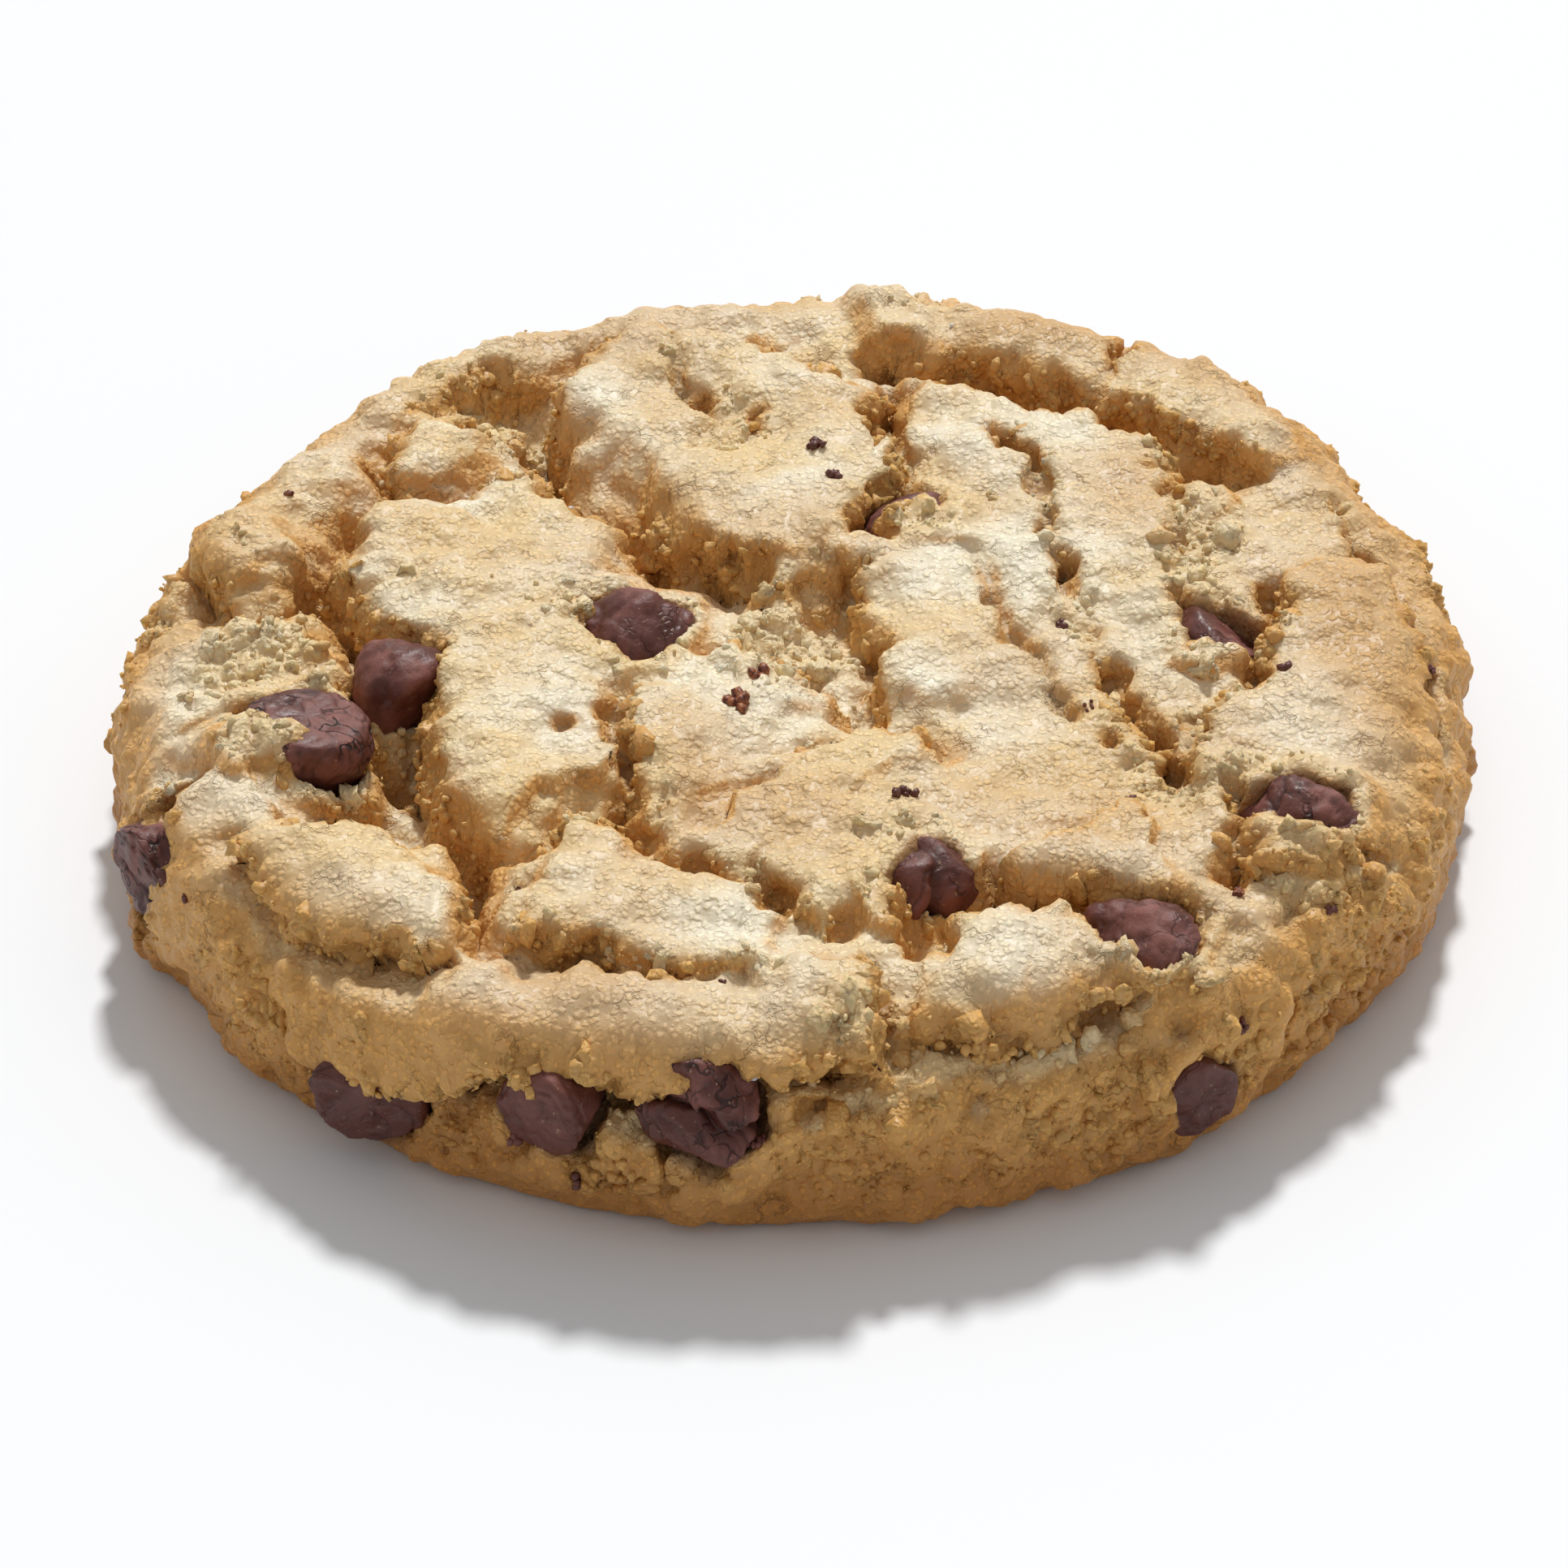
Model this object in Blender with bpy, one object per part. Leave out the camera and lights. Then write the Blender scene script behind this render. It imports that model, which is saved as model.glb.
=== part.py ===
"""A large soft-baked chocolate chip cookie: one craggy piece of dough with chips set into it.

Metres, +Z up. The cookie stands on z = 0 and its base is centred on the origin. Sizes below are in
millimetres and become metres at the end. Places on the dough are given on its skin laid out flat: x to
the right and y to the back, measured along the surface from the middle of the top, over the rounded
edge and down the side.
"""

import math
from collections import namedtuple

import bmesh
import bpy
import numpy as np
from mathutils import Matrix, Vector, noise

MM = 0.001

# The dough's turned form: a flat top, a wide round top edge, a short wall and a tight round base edge.
RADIUS = 50.0
THICKNESS = 15.0
TOP_ROUND = 8.0
BASE_ROUND = 3.0
# The outline is a little longer along this direction.
OVAL = 0.025
OVAL_TURN = math.radians(64.0)

# The mesh of the dough is a square grid of this many cells each way.
GRID_CELLS = 48

# The relief: how sharp a fold's step is, how wide its crack is, and how fast it dies out at its ends.
STEP_SOFTNESS = 1.8
CRACK_WIDTH = 2.1
FOLD_END = 3.0
LUMP_HEIGHT = 0.35
LUMP_SIZE = 9.0
# The relief fades out over this much of the side, above the flat base.
BASE_FADE = 5.0

# Chips: the gap that the dough keeps round each one, and the mesh of one.
CHIP_GAP = 0.3
CHIP_TURNS = 12
CHIP_RINGS = 7
# How much of a chip's height is its tip half, and how much the tip half narrows.
TIP_SHARE = 0.66
CHIP_TAPER = 0.35

# A fold runs along its points. left and right are how far the dough stands up beside it on each hand, crack
# is how deep it is split along the line, and reach is how far from the line the dough is bent.
Fold = namedtuple("Fold", "left right crack reach points")
FOLDS = {
    "left_slab_west": Fold(1.1, -1.3, 0.6, 7, [(-30, 18), (-35, 8), (-30, 0), (-26, -12), (-23, -24), (-18, -27)]),
    "left_slab_north": Fold(0.8, -1.2, 0.8, 6, [(-10, 10), (-14, 15), (-19, 20), (-25, 20), (-31, 17)]),
    "middle_crevice": Fold(0.9, 0.5, 2.2, 5, [(-11, -6), (-12, -12), (-12, -20), (-9, -26)]),
    "middle_slab_front": Fold(1.3, -0.6, 1.0, 7, [(-12, -22), (-8, -28), (-2, -32), (3, -38)]),
    "first_wave_front": Fold(1.6, -0.8, 0.6, 7, [(-38, -22), (-37, -29), (-32, -34), (-21, -38)]),
    "first_wave_back": Fold(-1.0, 0.4, 0.7, 5, [(-37, -22), (-31, -22), (-24, -25), (-21, -35)]),
    "second_wave_front": Fold(1.6, -0.4, 0.8, 7, [(-21, -35), (-14, -38), (-6, -40), (2, -40)]),
    "second_wave_back": Fold(-0.9, 0.6, 0.5, 4, [(-22, -30), (-17, -25), (-14, -22), (-10, -26)]),
    "front_roll_crevice": Fold(1.2, -0.6, 1.6, 5, [(-37, -41), (-28, -46), (-14, -48), (-4, -49), (7, -49)]),
    "front_roll_end": Fold(-0.3, 0.8, 1.2, 5, [(2, -37), (5, -41), (6, -46)]),
    "front_slab_rim": Fold(0.9, -0.4, 1.2, 6, [(5, -45), (14, -46), (21, -43), (28, -39)]),
    "front_slab_back": Fold(0.6, -1.0, 0.8, 5, [(21, -36), (17, -33), (11, -35), (7, -39)]),
    "wide_slab_front": Fold(1.5, -0.9, 1.2, 7, [(13, -27), (16, -32), (24, -33), (31, -32)]),
    "long_crack": Fold(
        0.5, 0.5, 1.7, 5, [(30, -31), (31, -24), (27, -17), (23, -7), (20, 2), (18, 12), (15, 25)]
    ),
    "middle_right_slab_west": Fold(-1.2, 0.9, 0.4, 6, [(7, -14), (5, -6), (5, 6), (1, 10)]),
    "ridge_front": Fold(1.8, -0.9, 1.0, 7, [(-14, 19), (-9, 12), (-4, 8), (1, 5)]),
    "back_slab_west": Fold(1.3, -1.5, 0.8, 6, [(-15, 42), (-17, 34), (-18, 26), (-16, 20)]),
    "back_block_rim": Fold(0.8, -1.0, 0.8, 4, [(-28, 31), (-31, 25), (-31, 20), (-26, 18)]),
    "back_middle_crack": Fold(0.3, 0.5, 1.0, 4, [(-10, 41), (-9, 32), (-5, 25)]),
    "back_right_block_west": Fold(1.0, -0.8, 1.2, 5, [(7, 34), (6, 28), (7, 19), (3, 11)]),
    "back_valley": Fold(1.3, -1.4, 0.8, 7, [(35, 19), (27, 22), (19, 28), (11, 33), (3, 36)]),
    "back_rim_inside": Fold(1.3, -0.8, 0.0, 5, [(3, 39), (13, 36), (22, 31), (34, 21)]),
    "right_slab_west": Fold(0.7, -0.1, 1.5, 5, [(36, 9), (35, 0), (32, -9), (27, -18)]),
    "right_back_crack": Fold(0.5, 0.2, 1.4, 4, [(31, 20), (28, 14), (28, 4), (30, -3)]),
    "right_rim_groove": Fold(-0.2, 0.3, 0.9, 4, [(39, 20), (44, 7), (48, -6), (50, -15)]),
    "left_rim_crack": Fold(0.8, -0.8, 1.5, 5, [(-40, -16), (-46, -20), (-53, -25)]),
    "left_rim_shelf": Fold(1.2, -0.9, 0.6, 6, [(-50, 12), (-44, 7), (-37, 4)]),
    "foot_crack": Fold(0.3, 0.2, 1.3, 3, [(-9, -50), (-9, -55), (-10, -60)]),
    "right_front_crack": Fold(0.2, 0.2, 1.2, 3, [(32, -31), (36, -37), (37, -43)]),
    "back_side_crack": Fold(0.8, -0.4, 1.2, 6, [(-34, 44), (-18, 53), (2, 52), (22, 50)]),
    "back_corner_crack": Fold(0.5, -0.4, 1.2, 5, [(30, 41), (40, 36), (50, 20)]),
}

# A chip is a drop with a round base. lean is the angle from the dough's outward direction to the chip's tip,
# heading is the way the tip leans, and proud is how far its middle stands above the skin.
Chip = namedtuple("Chip", "x y width height lean heading proud")
CHIPS = {
    "chip_standing": Chip(-11.5, 0.5, 9.6, 9.0, 75, 165, -1.6),
    "chip_oval": Chip(-28.6, -5.2, 7.8, 7.6, 78, 130, -1.7),
    "chip_cracked_disc": Chip(-34.8, -13.2, 9.8, 7.5, 172, 250, -0.8),
    "chip_left_side": Chip(-48.0, -22.0, 9.5, 7.5, 165, 30, -1.2),
    "chip_left_foot": Chip(-32.0, -45.5, 8.8, 7.5, 160, 60, -1.4),
    "chip_in_crevice": Chip(-17.0, -49.0, 7.0, 7.0, 155, 60, -1.2),
    "chip_front": Chip(-6.5, -50.0, 8.6, 7.5, 160, 60, -0.8),
    "chip_folded": Chip(7.5, -29.0, 9.4, 8.5, 80, 120, -2.2),
    "chip_front_right": Chip(24.5, -36.5, 8.4, 8.0, 80, 150, -2.2),
    "chip_right": Chip(36.0, -23.0, 8.8, 8.0, 70, 140, -2.0),
    "chip_right_back": Chip(31.0, -1.0, 8.0, 8.0, 80, 120, -2.0),
    "chip_covered": Chip(8.5, 14.5, 7.6, 7.0, 70, 220, -2.2),
    "chip_low_right": Chip(31.0, -47.0, 7.0, 6.5, 165, 0, -1.2),
    "chip_back_left": Chip(-24.0, 48.0, 9.0, 7.5, 160, 30, -1.2),
    "chip_back_right": Chip(36.0, 42.0, 8.6, 7.5, 165, 200, -1.2),
    "chip_back_low": Chip(4.0, 54.0, 7.5, 7.0, 165, 0, -2.0),
}

EDGE_START = RADIUS - TOP_ROUND
WALL_START = EDGE_START + TOP_ROUND * math.pi / 2
WALL_END = WALL_START + THICKNESS - TOP_ROUND - BASE_ROUND
BASE_START = WALL_END + BASE_ROUND * math.pi / 2


def profile(run):
    """Radius and height, and the outward direction's two parts, at a length run from the middle of the top."""
    top_angle = np.clip((run - EDGE_START) / TOP_ROUND, 0, math.pi / 2)
    base_angle = np.clip((run - WALL_END) / BASE_ROUND, 0, math.pi / 2)
    wall = np.clip(run - WALL_START, 0, WALL_END - WALL_START)
    radius = np.minimum(run, EDGE_START) + TOP_ROUND * np.sin(top_angle)
    radius = radius - BASE_ROUND * (1 - np.cos(base_angle)) - np.maximum(run - BASE_START, 0)
    height = THICKNESS - TOP_ROUND * (1 - np.cos(top_angle)) - wall - BASE_ROUND * np.sin(base_angle)
    return radius, height, np.sin(top_angle + base_angle), np.cos(top_angle + base_angle)


def skin(x, y, lift):
    """Points of the cookie, in mm, at places x and y of the laid-out skin, raised by lift."""
    run = np.hypot(x, y)
    turn = np.arctan2(y, x)
    radius, height, out, up = profile(run)
    radius = radius * (1 + OVAL * np.cos(2 * (turn - OVAL_TURN))) + lift * out
    height = height + lift * up
    return np.stack([radius * np.cos(turn), radius * np.sin(turn), height], axis=-1)


def smooth(value):
    value = np.clip(value, 0, 1)
    return value * value * (3 - 2 * value)


def fold_relief(x, y, fold):
    """How far one fold raises the dough: a soft step across its line with a crack along it."""
    points = np.array(fold.points, float)
    steps = np.diff(points, axis=0)
    lengths = np.hypot(*steps.T)
    starts = np.concatenate([[0], np.cumsum(lengths)])
    nearest = np.full(x.shape, np.inf)
    along = np.zeros(x.shape)
    side = np.zeros(x.shape)
    for point, step, length, start in zip(points, steps, lengths, starts):
        across = ((y - point[1]) * step[0] - (x - point[0]) * step[1]) / length
        share = np.clip(((x - point[0]) * step[0] + (y - point[1]) * step[1]) / length**2, 0, 1)
        gap = np.hypot(x - point[0] - share * step[0], y - point[1] - share * step[1])
        closer = gap < nearest
        nearest = np.where(closer, gap, nearest)
        along = np.where(closer, start + share * length, along)
        side = np.where(closer, np.copysign(gap, across), side)
    ends = smooth(along / FOLD_END) * smooth((starts[-1] - along) / FOLD_END)
    left_share = 0.5 + 0.5 * np.tanh(side / STEP_SOFTNESS)
    bent = fold.right + (fold.left - fold.right) * left_share
    bent = bent * np.exp(-((nearest / fold.reach) ** 2))
    return ends * (bent - fold.crack * np.exp(-((nearest / CRACK_WIDTH) ** 2)))


def relief(x, y):
    """The dough's height above its turned form, in mm: every fold, and slow lumps between them."""
    run = np.hypot(x, y)
    lumps = [noise.noise(Vector((a / LUMP_SIZE, b / LUMP_SIZE, 0.5))) for a, b in zip(x, y)]
    height = LUMP_HEIGHT * np.array(lumps)
    for fold in FOLDS.values():
        height = height + fold_relief(x, y, fold)
    return height * smooth((BASE_START - run) / BASE_FADE)


def linked(name, mesh, collection):
    thing = bpy.data.objects.new(name, mesh)
    collection.objects.link(thing)
    return thing


def painted(name, colour, roughness):
    material = bpy.data.materials.new(name)
    material.use_nodes = True
    shader = material.node_tree.nodes["Principled BSDF"]
    shader.inputs["Base Color"].default_value = (*colour, 1)
    shader.inputs["Roughness"].default_value = roughness
    shader.inputs["Metallic"].default_value = 0
    return material


def make_dough(collection):
    """A square grid wrapped over the cookie as rings, closed by one flat face underneath, with the relief on it."""
    shape = bmesh.new()
    bmesh.ops.create_grid(shape, x_segments=GRID_CELLS, y_segments=GRID_CELLS, size=1)
    flat = np.array([vertex.co for vertex in shape.verts])
    wide, deep = np.abs(flat[:, 0]), np.abs(flat[:, 1])
    run = BASE_START * np.maximum(wide, deep)
    share = np.minimum(wide, deep) / np.maximum(np.maximum(wide, deep), MM)
    turn = np.where(wide >= deep, share, 2 - share) * math.pi / 4
    x = run * np.cos(turn) * np.sign(flat[:, 0])
    y = run * np.sin(turn) * np.sign(flat[:, 1])
    placed = skin(x, y, relief(x, y)) * MM
    for vertex, place in zip(shape.verts, placed):
        vertex.co = place
    rim = [edge for edge in shape.edges if edge.is_boundary]
    bmesh.ops.holes_fill(shape, edges=rim, sides=len(rim))
    bmesh.ops.recalc_face_normals(shape, faces=shape.faces)
    mesh = bpy.data.meshes.new("cookie_dough")
    shape.to_mesh(mesh)
    shape.free()
    mesh.shade_smooth()
    return linked("cookie_dough", mesh, collection)


def chip_mesh(name, chip, grown):
    """A drop: a sphere whose lower half is flattened to the base and whose upper half narrows to a tip."""
    shape = bmesh.new()
    bmesh.ops.create_uvsphere(shape, u_segments=CHIP_TURNS, v_segments=CHIP_RINGS, radius=1)
    for vertex in shape.verts:
        level = vertex.co.z
        narrowing = 1 - CHIP_TAPER * max(level, 0)
        half = (chip.width / 2 + grown) * narrowing
        tall = chip.height * (TIP_SHARE if level > 0 else 1 - TIP_SHARE) + grown
        vertex.co = Vector((vertex.co.x * half, vertex.co.y * half, level * tall)) * MM
    mesh = bpy.data.meshes.new(name)
    shape.to_mesh(mesh)
    shape.free()
    mesh.shade_smooth()
    return mesh


def chip_place(chip):
    """Where a chip sits: its middle on the skin, raised by proud, with its tip leaning from the outward way."""
    x = np.array([chip.x], float)
    y = np.array([chip.y], float)
    low = skin(x, y, relief(x, y))[0]
    high = skin(x, y, relief(x, y) + 1)[0]
    outward = Vector(high - low).normalized()
    sideways = Vector((0, 0, 1)).cross(outward)
    if sideways.length < MM:
        sideways = Vector((1, 0, 0))
    sideways.normalize()
    heading = math.radians(chip.heading)
    flat_way = Vector((math.cos(heading), math.sin(heading), 0))
    along = (flat_way - outward * flat_way.dot(outward)).normalized()
    lean = math.radians(chip.lean)
    tip = outward * math.cos(lean) + along * math.sin(lean)
    place = (Vector(low) + outward * chip.proud) * MM
    return Matrix.Translation(place) @ tip.to_track_quat("Z", "Y").to_matrix().to_4x4()


def make_chips(parts, cutters, dough, chocolate):
    """Each chip, and a slightly larger copy of it that cuts its pocket from the dough."""
    for name, chip in CHIPS.items():
        place = chip_place(chip)
        piece = linked(name, chip_mesh(name, chip, 0), parts)
        piece.matrix_world = place
        piece.data.materials.append(chocolate)
        cutter = linked("pocket_for_" + name, chip_mesh("pocket_for_" + name, chip, CHIP_GAP), cutters)
        cutter.matrix_world = place
        cutter.hide_render = True
        cutter.display_type = "WIRE"
        pocket = dough.modifiers.new(cutter.name, "BOOLEAN")
        pocket.operation = "DIFFERENCE"
        pocket.solver = "EXACT"
        pocket.object = cutter


def build():
    for thing in list(bpy.data.objects):
        bpy.data.objects.remove(thing)
    parts = bpy.data.collections.new("chocolate_chip_cookie")
    cutters = bpy.data.collections.new("cutters")
    bpy.context.scene.collection.children.link(parts)
    bpy.context.scene.collection.children.link(cutters)
    dough = make_dough(parts)
    dough.data.materials.append(painted("baked_dough", (0.58, 0.38, 0.18), 0.8))
    make_chips(parts, cutters, dough, painted("milk_chocolate", (0.07, 0.022, 0.016), 0.45))


build()
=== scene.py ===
"""Looks of a large soft-baked chocolate chip cookie: craggy dough, chips, crumbs and flecks, on a pale floor.

Lengths in the tables below are millimetres. Places on the dough are given on its skin laid out flat: x to the
right and y to the back, measured along the surface from the middle of the top, over the rounded edge and down.
"""

import math
from collections import namedtuple

import bpy
import numpy as np
from bpy.props import FloatProperty, FloatVectorProperty, IntProperty, PointerProperty
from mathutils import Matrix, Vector


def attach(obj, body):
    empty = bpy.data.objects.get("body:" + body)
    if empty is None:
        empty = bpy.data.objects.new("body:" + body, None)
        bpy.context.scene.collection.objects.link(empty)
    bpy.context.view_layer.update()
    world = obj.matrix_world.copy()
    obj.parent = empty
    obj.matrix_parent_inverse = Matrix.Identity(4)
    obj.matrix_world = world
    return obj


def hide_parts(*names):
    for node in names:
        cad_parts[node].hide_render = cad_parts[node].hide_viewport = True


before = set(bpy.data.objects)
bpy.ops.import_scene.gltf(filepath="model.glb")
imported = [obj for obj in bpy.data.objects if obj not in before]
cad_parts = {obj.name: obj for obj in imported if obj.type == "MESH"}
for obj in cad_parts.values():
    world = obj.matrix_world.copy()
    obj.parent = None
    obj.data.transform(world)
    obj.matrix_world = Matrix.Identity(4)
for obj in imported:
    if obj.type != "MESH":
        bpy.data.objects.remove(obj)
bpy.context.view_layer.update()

bl_info = {
    "name": "Chocolate chip cookie",
    "version": (1, 0, 0),
    "blender": (4, 5, 0),
    "location": "View3D > Sidebar > Cookie",
    "description": "Dough, chips, crumbs, flecks and a studio for one large soft-baked cookie",
    "category": "Object",
}

MM = 0.001
BODY = "root"

# A fold runs along its points. left and right are how far the dough stands up beside it on each hand, crack
# is how deep it is split along the line, and reach is how far from the line the dough is bent.
Fold = namedtuple("Fold", "left right crack reach points")
FOLDS = (
    # the big slab left of the middle
    Fold(
        1.1, -1.5, 0.5, 7,
        [(-30, 18), (-34, 12), (-35, 7), (-31, 1), (-27, -4), (-26, -13), (-23, -24), (-18, -27)],
    ),
    Fold(0.8, -1.2, 0.8, 6, [(-10, 10), (-14, 15), (-19, 19.5), (-23, 20.5), (-27, 18), (-31, 18)]),
    Fold(0.9, 0.3, 2.2, 5, [(-11, -6), (-12, -11), (-12, -17), (-12, -22), (-9.5, -26)]),
    # the slab in front of the middle
    Fold(1.3, -0.4, 1.0, 7, [(-10, -24), (-9, -27), (-4, -29), (-1, -33), (2, -37)]),
    # the two waves behind the front roll
    Fold(1.7, -0.8, 0.5, 7, [(-38, -23), (-37.5, -28), (-33, -33.5), (-27, -37), (-21, -38)]),
    Fold(
        -1.0, 0.4, 0.8, 5,
        [(-37, -22), (-33, -24), (-29, -22), (-24, -25), (-22, -28), (-21.5, -33), (-20.5, -37)],
    ),
    Fold(
        -0.9, 0.6, 0.5, 4,
        [(-21, -33), (-22, -29), (-19, -27), (-17, -24.5), (-14.5, -22), (-13, -24), (-10, -26)],
    ),
    Fold(1.7, -0.4, 0.8, 7, [(-21, -35), (-16, -37), (-10, -39.5), (-4, -40.5), (1, -40)]),
    # the front roll and the crevice under it
    Fold(
        1.6, -1.2, 1.7, 5,
        [(-37, -41), (-33, -45), (-27, -46.5), (-20, -47.5), (-13, -48), (-9, -49.5), (-4, -48), (2, -48.5),
         (7, -49)],
    ),
    Fold(0.0, 0.0, 2.6, 6, [(-30, -46.5), (-24, -47.5), (-17, -48.6), (-10, -49.8), (-5, -50)]),
    Fold(-0.2, 0.8, 1.2, 5, [(3, -37.5), (5, -41), (5.5, -45), (7, -49)]),
    # the front right slab
    Fold(0.9, -0.4, 1.2, 6, [(5.5, -45), (10, -46), (15, -46.5), (19, -44.5), (23, -41.5), (28, -39)]),
    Fold(0.6, -1.0, 0.8, 5, [(21.5, -37), (20, -34), (16, -32.5), (12.5, -33.5), (10.5, -36), (7, -39)]),
    # the wide slab right of the middle
    Fold(1.7, -0.9, 1.2, 7, [(13.5, -27), (15, -31), (20, -32.5), (26, -33.5), (29.5, -32)]),
    Fold(
        0.4, 0.5, 1.7, 5,
        [(29.5, -32), (31, -27), (30.5, -22), (28, -18), (25.5, -14), (24, -9), (22, -4), (19.5, 1), (20, 6),
         (18, 12), (17, 17), (16, 22), (14.5, 26)],
    ),
    Fold(-0.8, 0.8, 0.4, 5, [(-3, -18), (0, -15.5), (5, -14), (9, -15.5), (11, -18)]),
    Fold(-1.2, 0.9, 0.4, 6, [(6, -12), (5, -7), (6, -3), (4.5, 2), (4.5, 7), (1.5, 9.5)]),
    Fold(-0.7, 0.5, 0.3, 4, [(-8, -4), (-4, -3), (0, -4), (3, -8), (4, -12)]),
    # the ridge behind the middle
    Fold(1.6, -1.1, 0.8, 6, [(-14, 19), (-10, 13.5), (-5, 9.5), (0, 6)]),
    # the blocks at the back left
    Fold(0.3, 0.5, 1.0, 4, [(-10, 40), (-10, 34), (-8, 29), (-5, 25)]),
    Fold(1.3, -1.6, 0.8, 6, [(-15, 42), (-16.5, 36), (-18, 30), (-18.5, 25), (-17, 20)]),
    Fold(0.8, -1.0, 0.8, 4, [(-29, 31), (-31.5, 26), (-31, 20), (-27, 17.5)]),
    Fold(-1.2, 0.8, 0.8, 5, [(-27, 30.5), (-22, 29), (-19.5, 25), (-19, 21)]),
    Fold(0.8, -1.2, 0.0, 5, [(-31, 30), (-29, 34), (-24, 37), (-18, 38)]),
    Fold(-1.0, 0.6, 1.2, 5, [(-4, 41), (-2, 37), (2, 34), (5.5, 31)]),
    # the blocks at the back right, and the valley behind them
    Fold(-0.8, 1.0, 1.2, 5, [(3, 11), (5, 14), (7, 18), (7, 23), (6, 29), (7, 34)][::-1]),
    Fold(
        1.4, -1.4, 0.8, 7,
        [(33, 19), (29.5, 20), (25, 24), (20, 27.5), (16, 29), (11, 33.5), (6.5, 34.5)],
    ),
    Fold(1.5, -0.9, 0.0, 5, [(3, 37), (10, 37), (16, 34), (21, 31), (27, 27), (31, 22.5), (36, 19)]),
    Fold(0.0, 0.0, 1.4, 3, [(25, 41), (24, 36), (22, 31)]),
    # the right side
    Fold(0.5, 0.2, 1.5, 4, [(31, 19.5), (28, 17), (27.5, 11), (27.5, 5), (29, 0)]),
    Fold(0.7, -0.2, 1.6, 5, [(35, 8), (35.5, 2), (34, -4), (33, -8), (30, -12), (28, -17)]),
    Fold(-0.2, 0.2, 0.9, 4, [(39, 19), (41.5, 12), (45, 5), (46.5, -1), (48.5, -8), (50, -15)]),
    Fold(0.1, 0.1, 0.9, 4, [(12, 10), (14.5, 3), (17, -3), (19, -9), (19.5, -14)]),
    Fold(0.3, 0.2, 0.9, 4, [(31, -30), (35, -29), (40, -26), (45, -24)]),
    Fold(0.0, 0.0, 1.2, 3, [(33, -33), (36, -37), (37, -42)]),
    Fold(0.0, 0.0, 1.2, 3, [(34, -41), (34.5, -46), (33, -51)]),
    # the left side
    Fold(0.8, -1.0, 1.5, 5, [(-40, -16), (-44, -19), (-48, -22), (-52, -25)]),
    Fold(-0.5, 0.7, 0.5, 3, [(-42, 4), (-40, 1), (-36, 3), (-32, 0.5)]),
    Fold(1.2, -1.0, 0.6, 6, [(-48, 11), (-46, 10), (-43, 6), (-40, 3)]),
    Fold(0.5, 0.0, 1.0, 5, [(-36, 4), (-36, 9), (-33.5, 14), (-31, 18), (-32, 24), (-35, 27)]),
    Fold(0.0, 0.0, 0.8, 3, [(-46, -12), (-42, -10), (-39, -12), (-38, -17), (-36, -21)]),
    # the foot
    Fold(0.3, 0.0, 1.4, 3, [(-10, -50), (-9, -54), (-9.5, -59)]),
    Fold(0.0, 0.0, 1.0, 3, [(-31, -38), (-32, -41), (-35, -42)]),
    # crests with no step: the front roll, the left roll, the waves' backs
    Fold(1.0, 1.0, 0.0, 3.6, [(-36, -37), (-28, -41.5), (-16, -43), (-4, -43.5), (3, -42)]),
    Fold(0.9, 0.9, 0.0, 4, [(-44, -16), (-43, -25), (-39, -33), (-34, -39)]),
    Fold(0.7, 0.7, 0.0, 3.5, [(10, -40), (18, -39), (26, -40), (34, -36), (42, -28)]),
    Fold(0.8, 0.8, 0.0, 4, [(-14, 22), (-8, 18), (0, 11)]),
    Fold(0.7, 0.7, 0.0, 5, [(36, -12), (40, -2), (38, 10)]),
    Fold(0.7, 0.7, 0.0, 4, [(23, 0), (23, 10), (20, 20)]),
    # the back edge
    Fold(0.8, -0.4, 1.1, 5, [(-44, 33), (-30, 45), (-15, 51), (0, 50)]),
    Fold(0.6, -0.4, 1.1, 5, [(18, 50), (32, 43), (42, 33), (50, 20)]),
    Fold(0.2, 0.0, 1.2, 3, [(20, 44), (23, 50), (25, 56)]),
    Fold(0.2, 0.0, 1.2, 3, [(-8, 44), (-9, 51), (-12, 57)]),
    Fold(0.2, 0.0, 1.2, 3, [(-38, 30), (-42, 35), (-44, 41)]),
)

# An area of torn crumb: its middle, its half width and half length, the turn of its length from the right, how
# far it has sunk, and how rough it is.
Area = namedtuple("Area", "x y wide long turn sunk rough")
AREAS = (
    Area(-22.5, 31, 5.5, 6, 40, 0.9, 1.0),
    Area(-1, -1, 5.5, 9, 80, 0.4, 0.9),
    Area(-31, -9, 6, 8, 120, 0.7, 0.9),
    Area(-40, -2, 5, 8, 70, 0.3, 0.9),
    Area(-32, -18, 4, 6, 150, 0.6, 0.9),
    Area(-10, -20, 2.5, 6, 90, 0.5, 0.8),
    Area(38, -29, 6, 8, 30, 0.1, 0.8),
    Area(26, -17, 3, 8, 110, 0.3, 0.8),
    Area(8, -34, 4, 5, 90, 0.5, 0.7),
    Area(5, -46, 5, 6, 60, 0.4, 0.9),
    Area(-14, -53, 9, 4, 0, 0.5, 0.9),
    Area(24, -51, 14, 6, 20, 0.0, 0.7),
    Area(44, -36, 8, 8, 0, 0.0, 0.7),
    Area(-5, 27, 4, 6, 90, 0.3, 0.6),
    Area(30, 8, 3, 10, 90, 0.2, 0.7),
    Area(-46, -20, 4, 6, 30, 0.4, 0.8),
    Area(10, 55, 20, 5, 0, 0.0, 0.6),
    Area(-40, 42, 8, 6, 130, 0.0, 0.6),
    Area(48, 26, 5, 10, 120, 0.0, 0.6),
)

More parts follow.
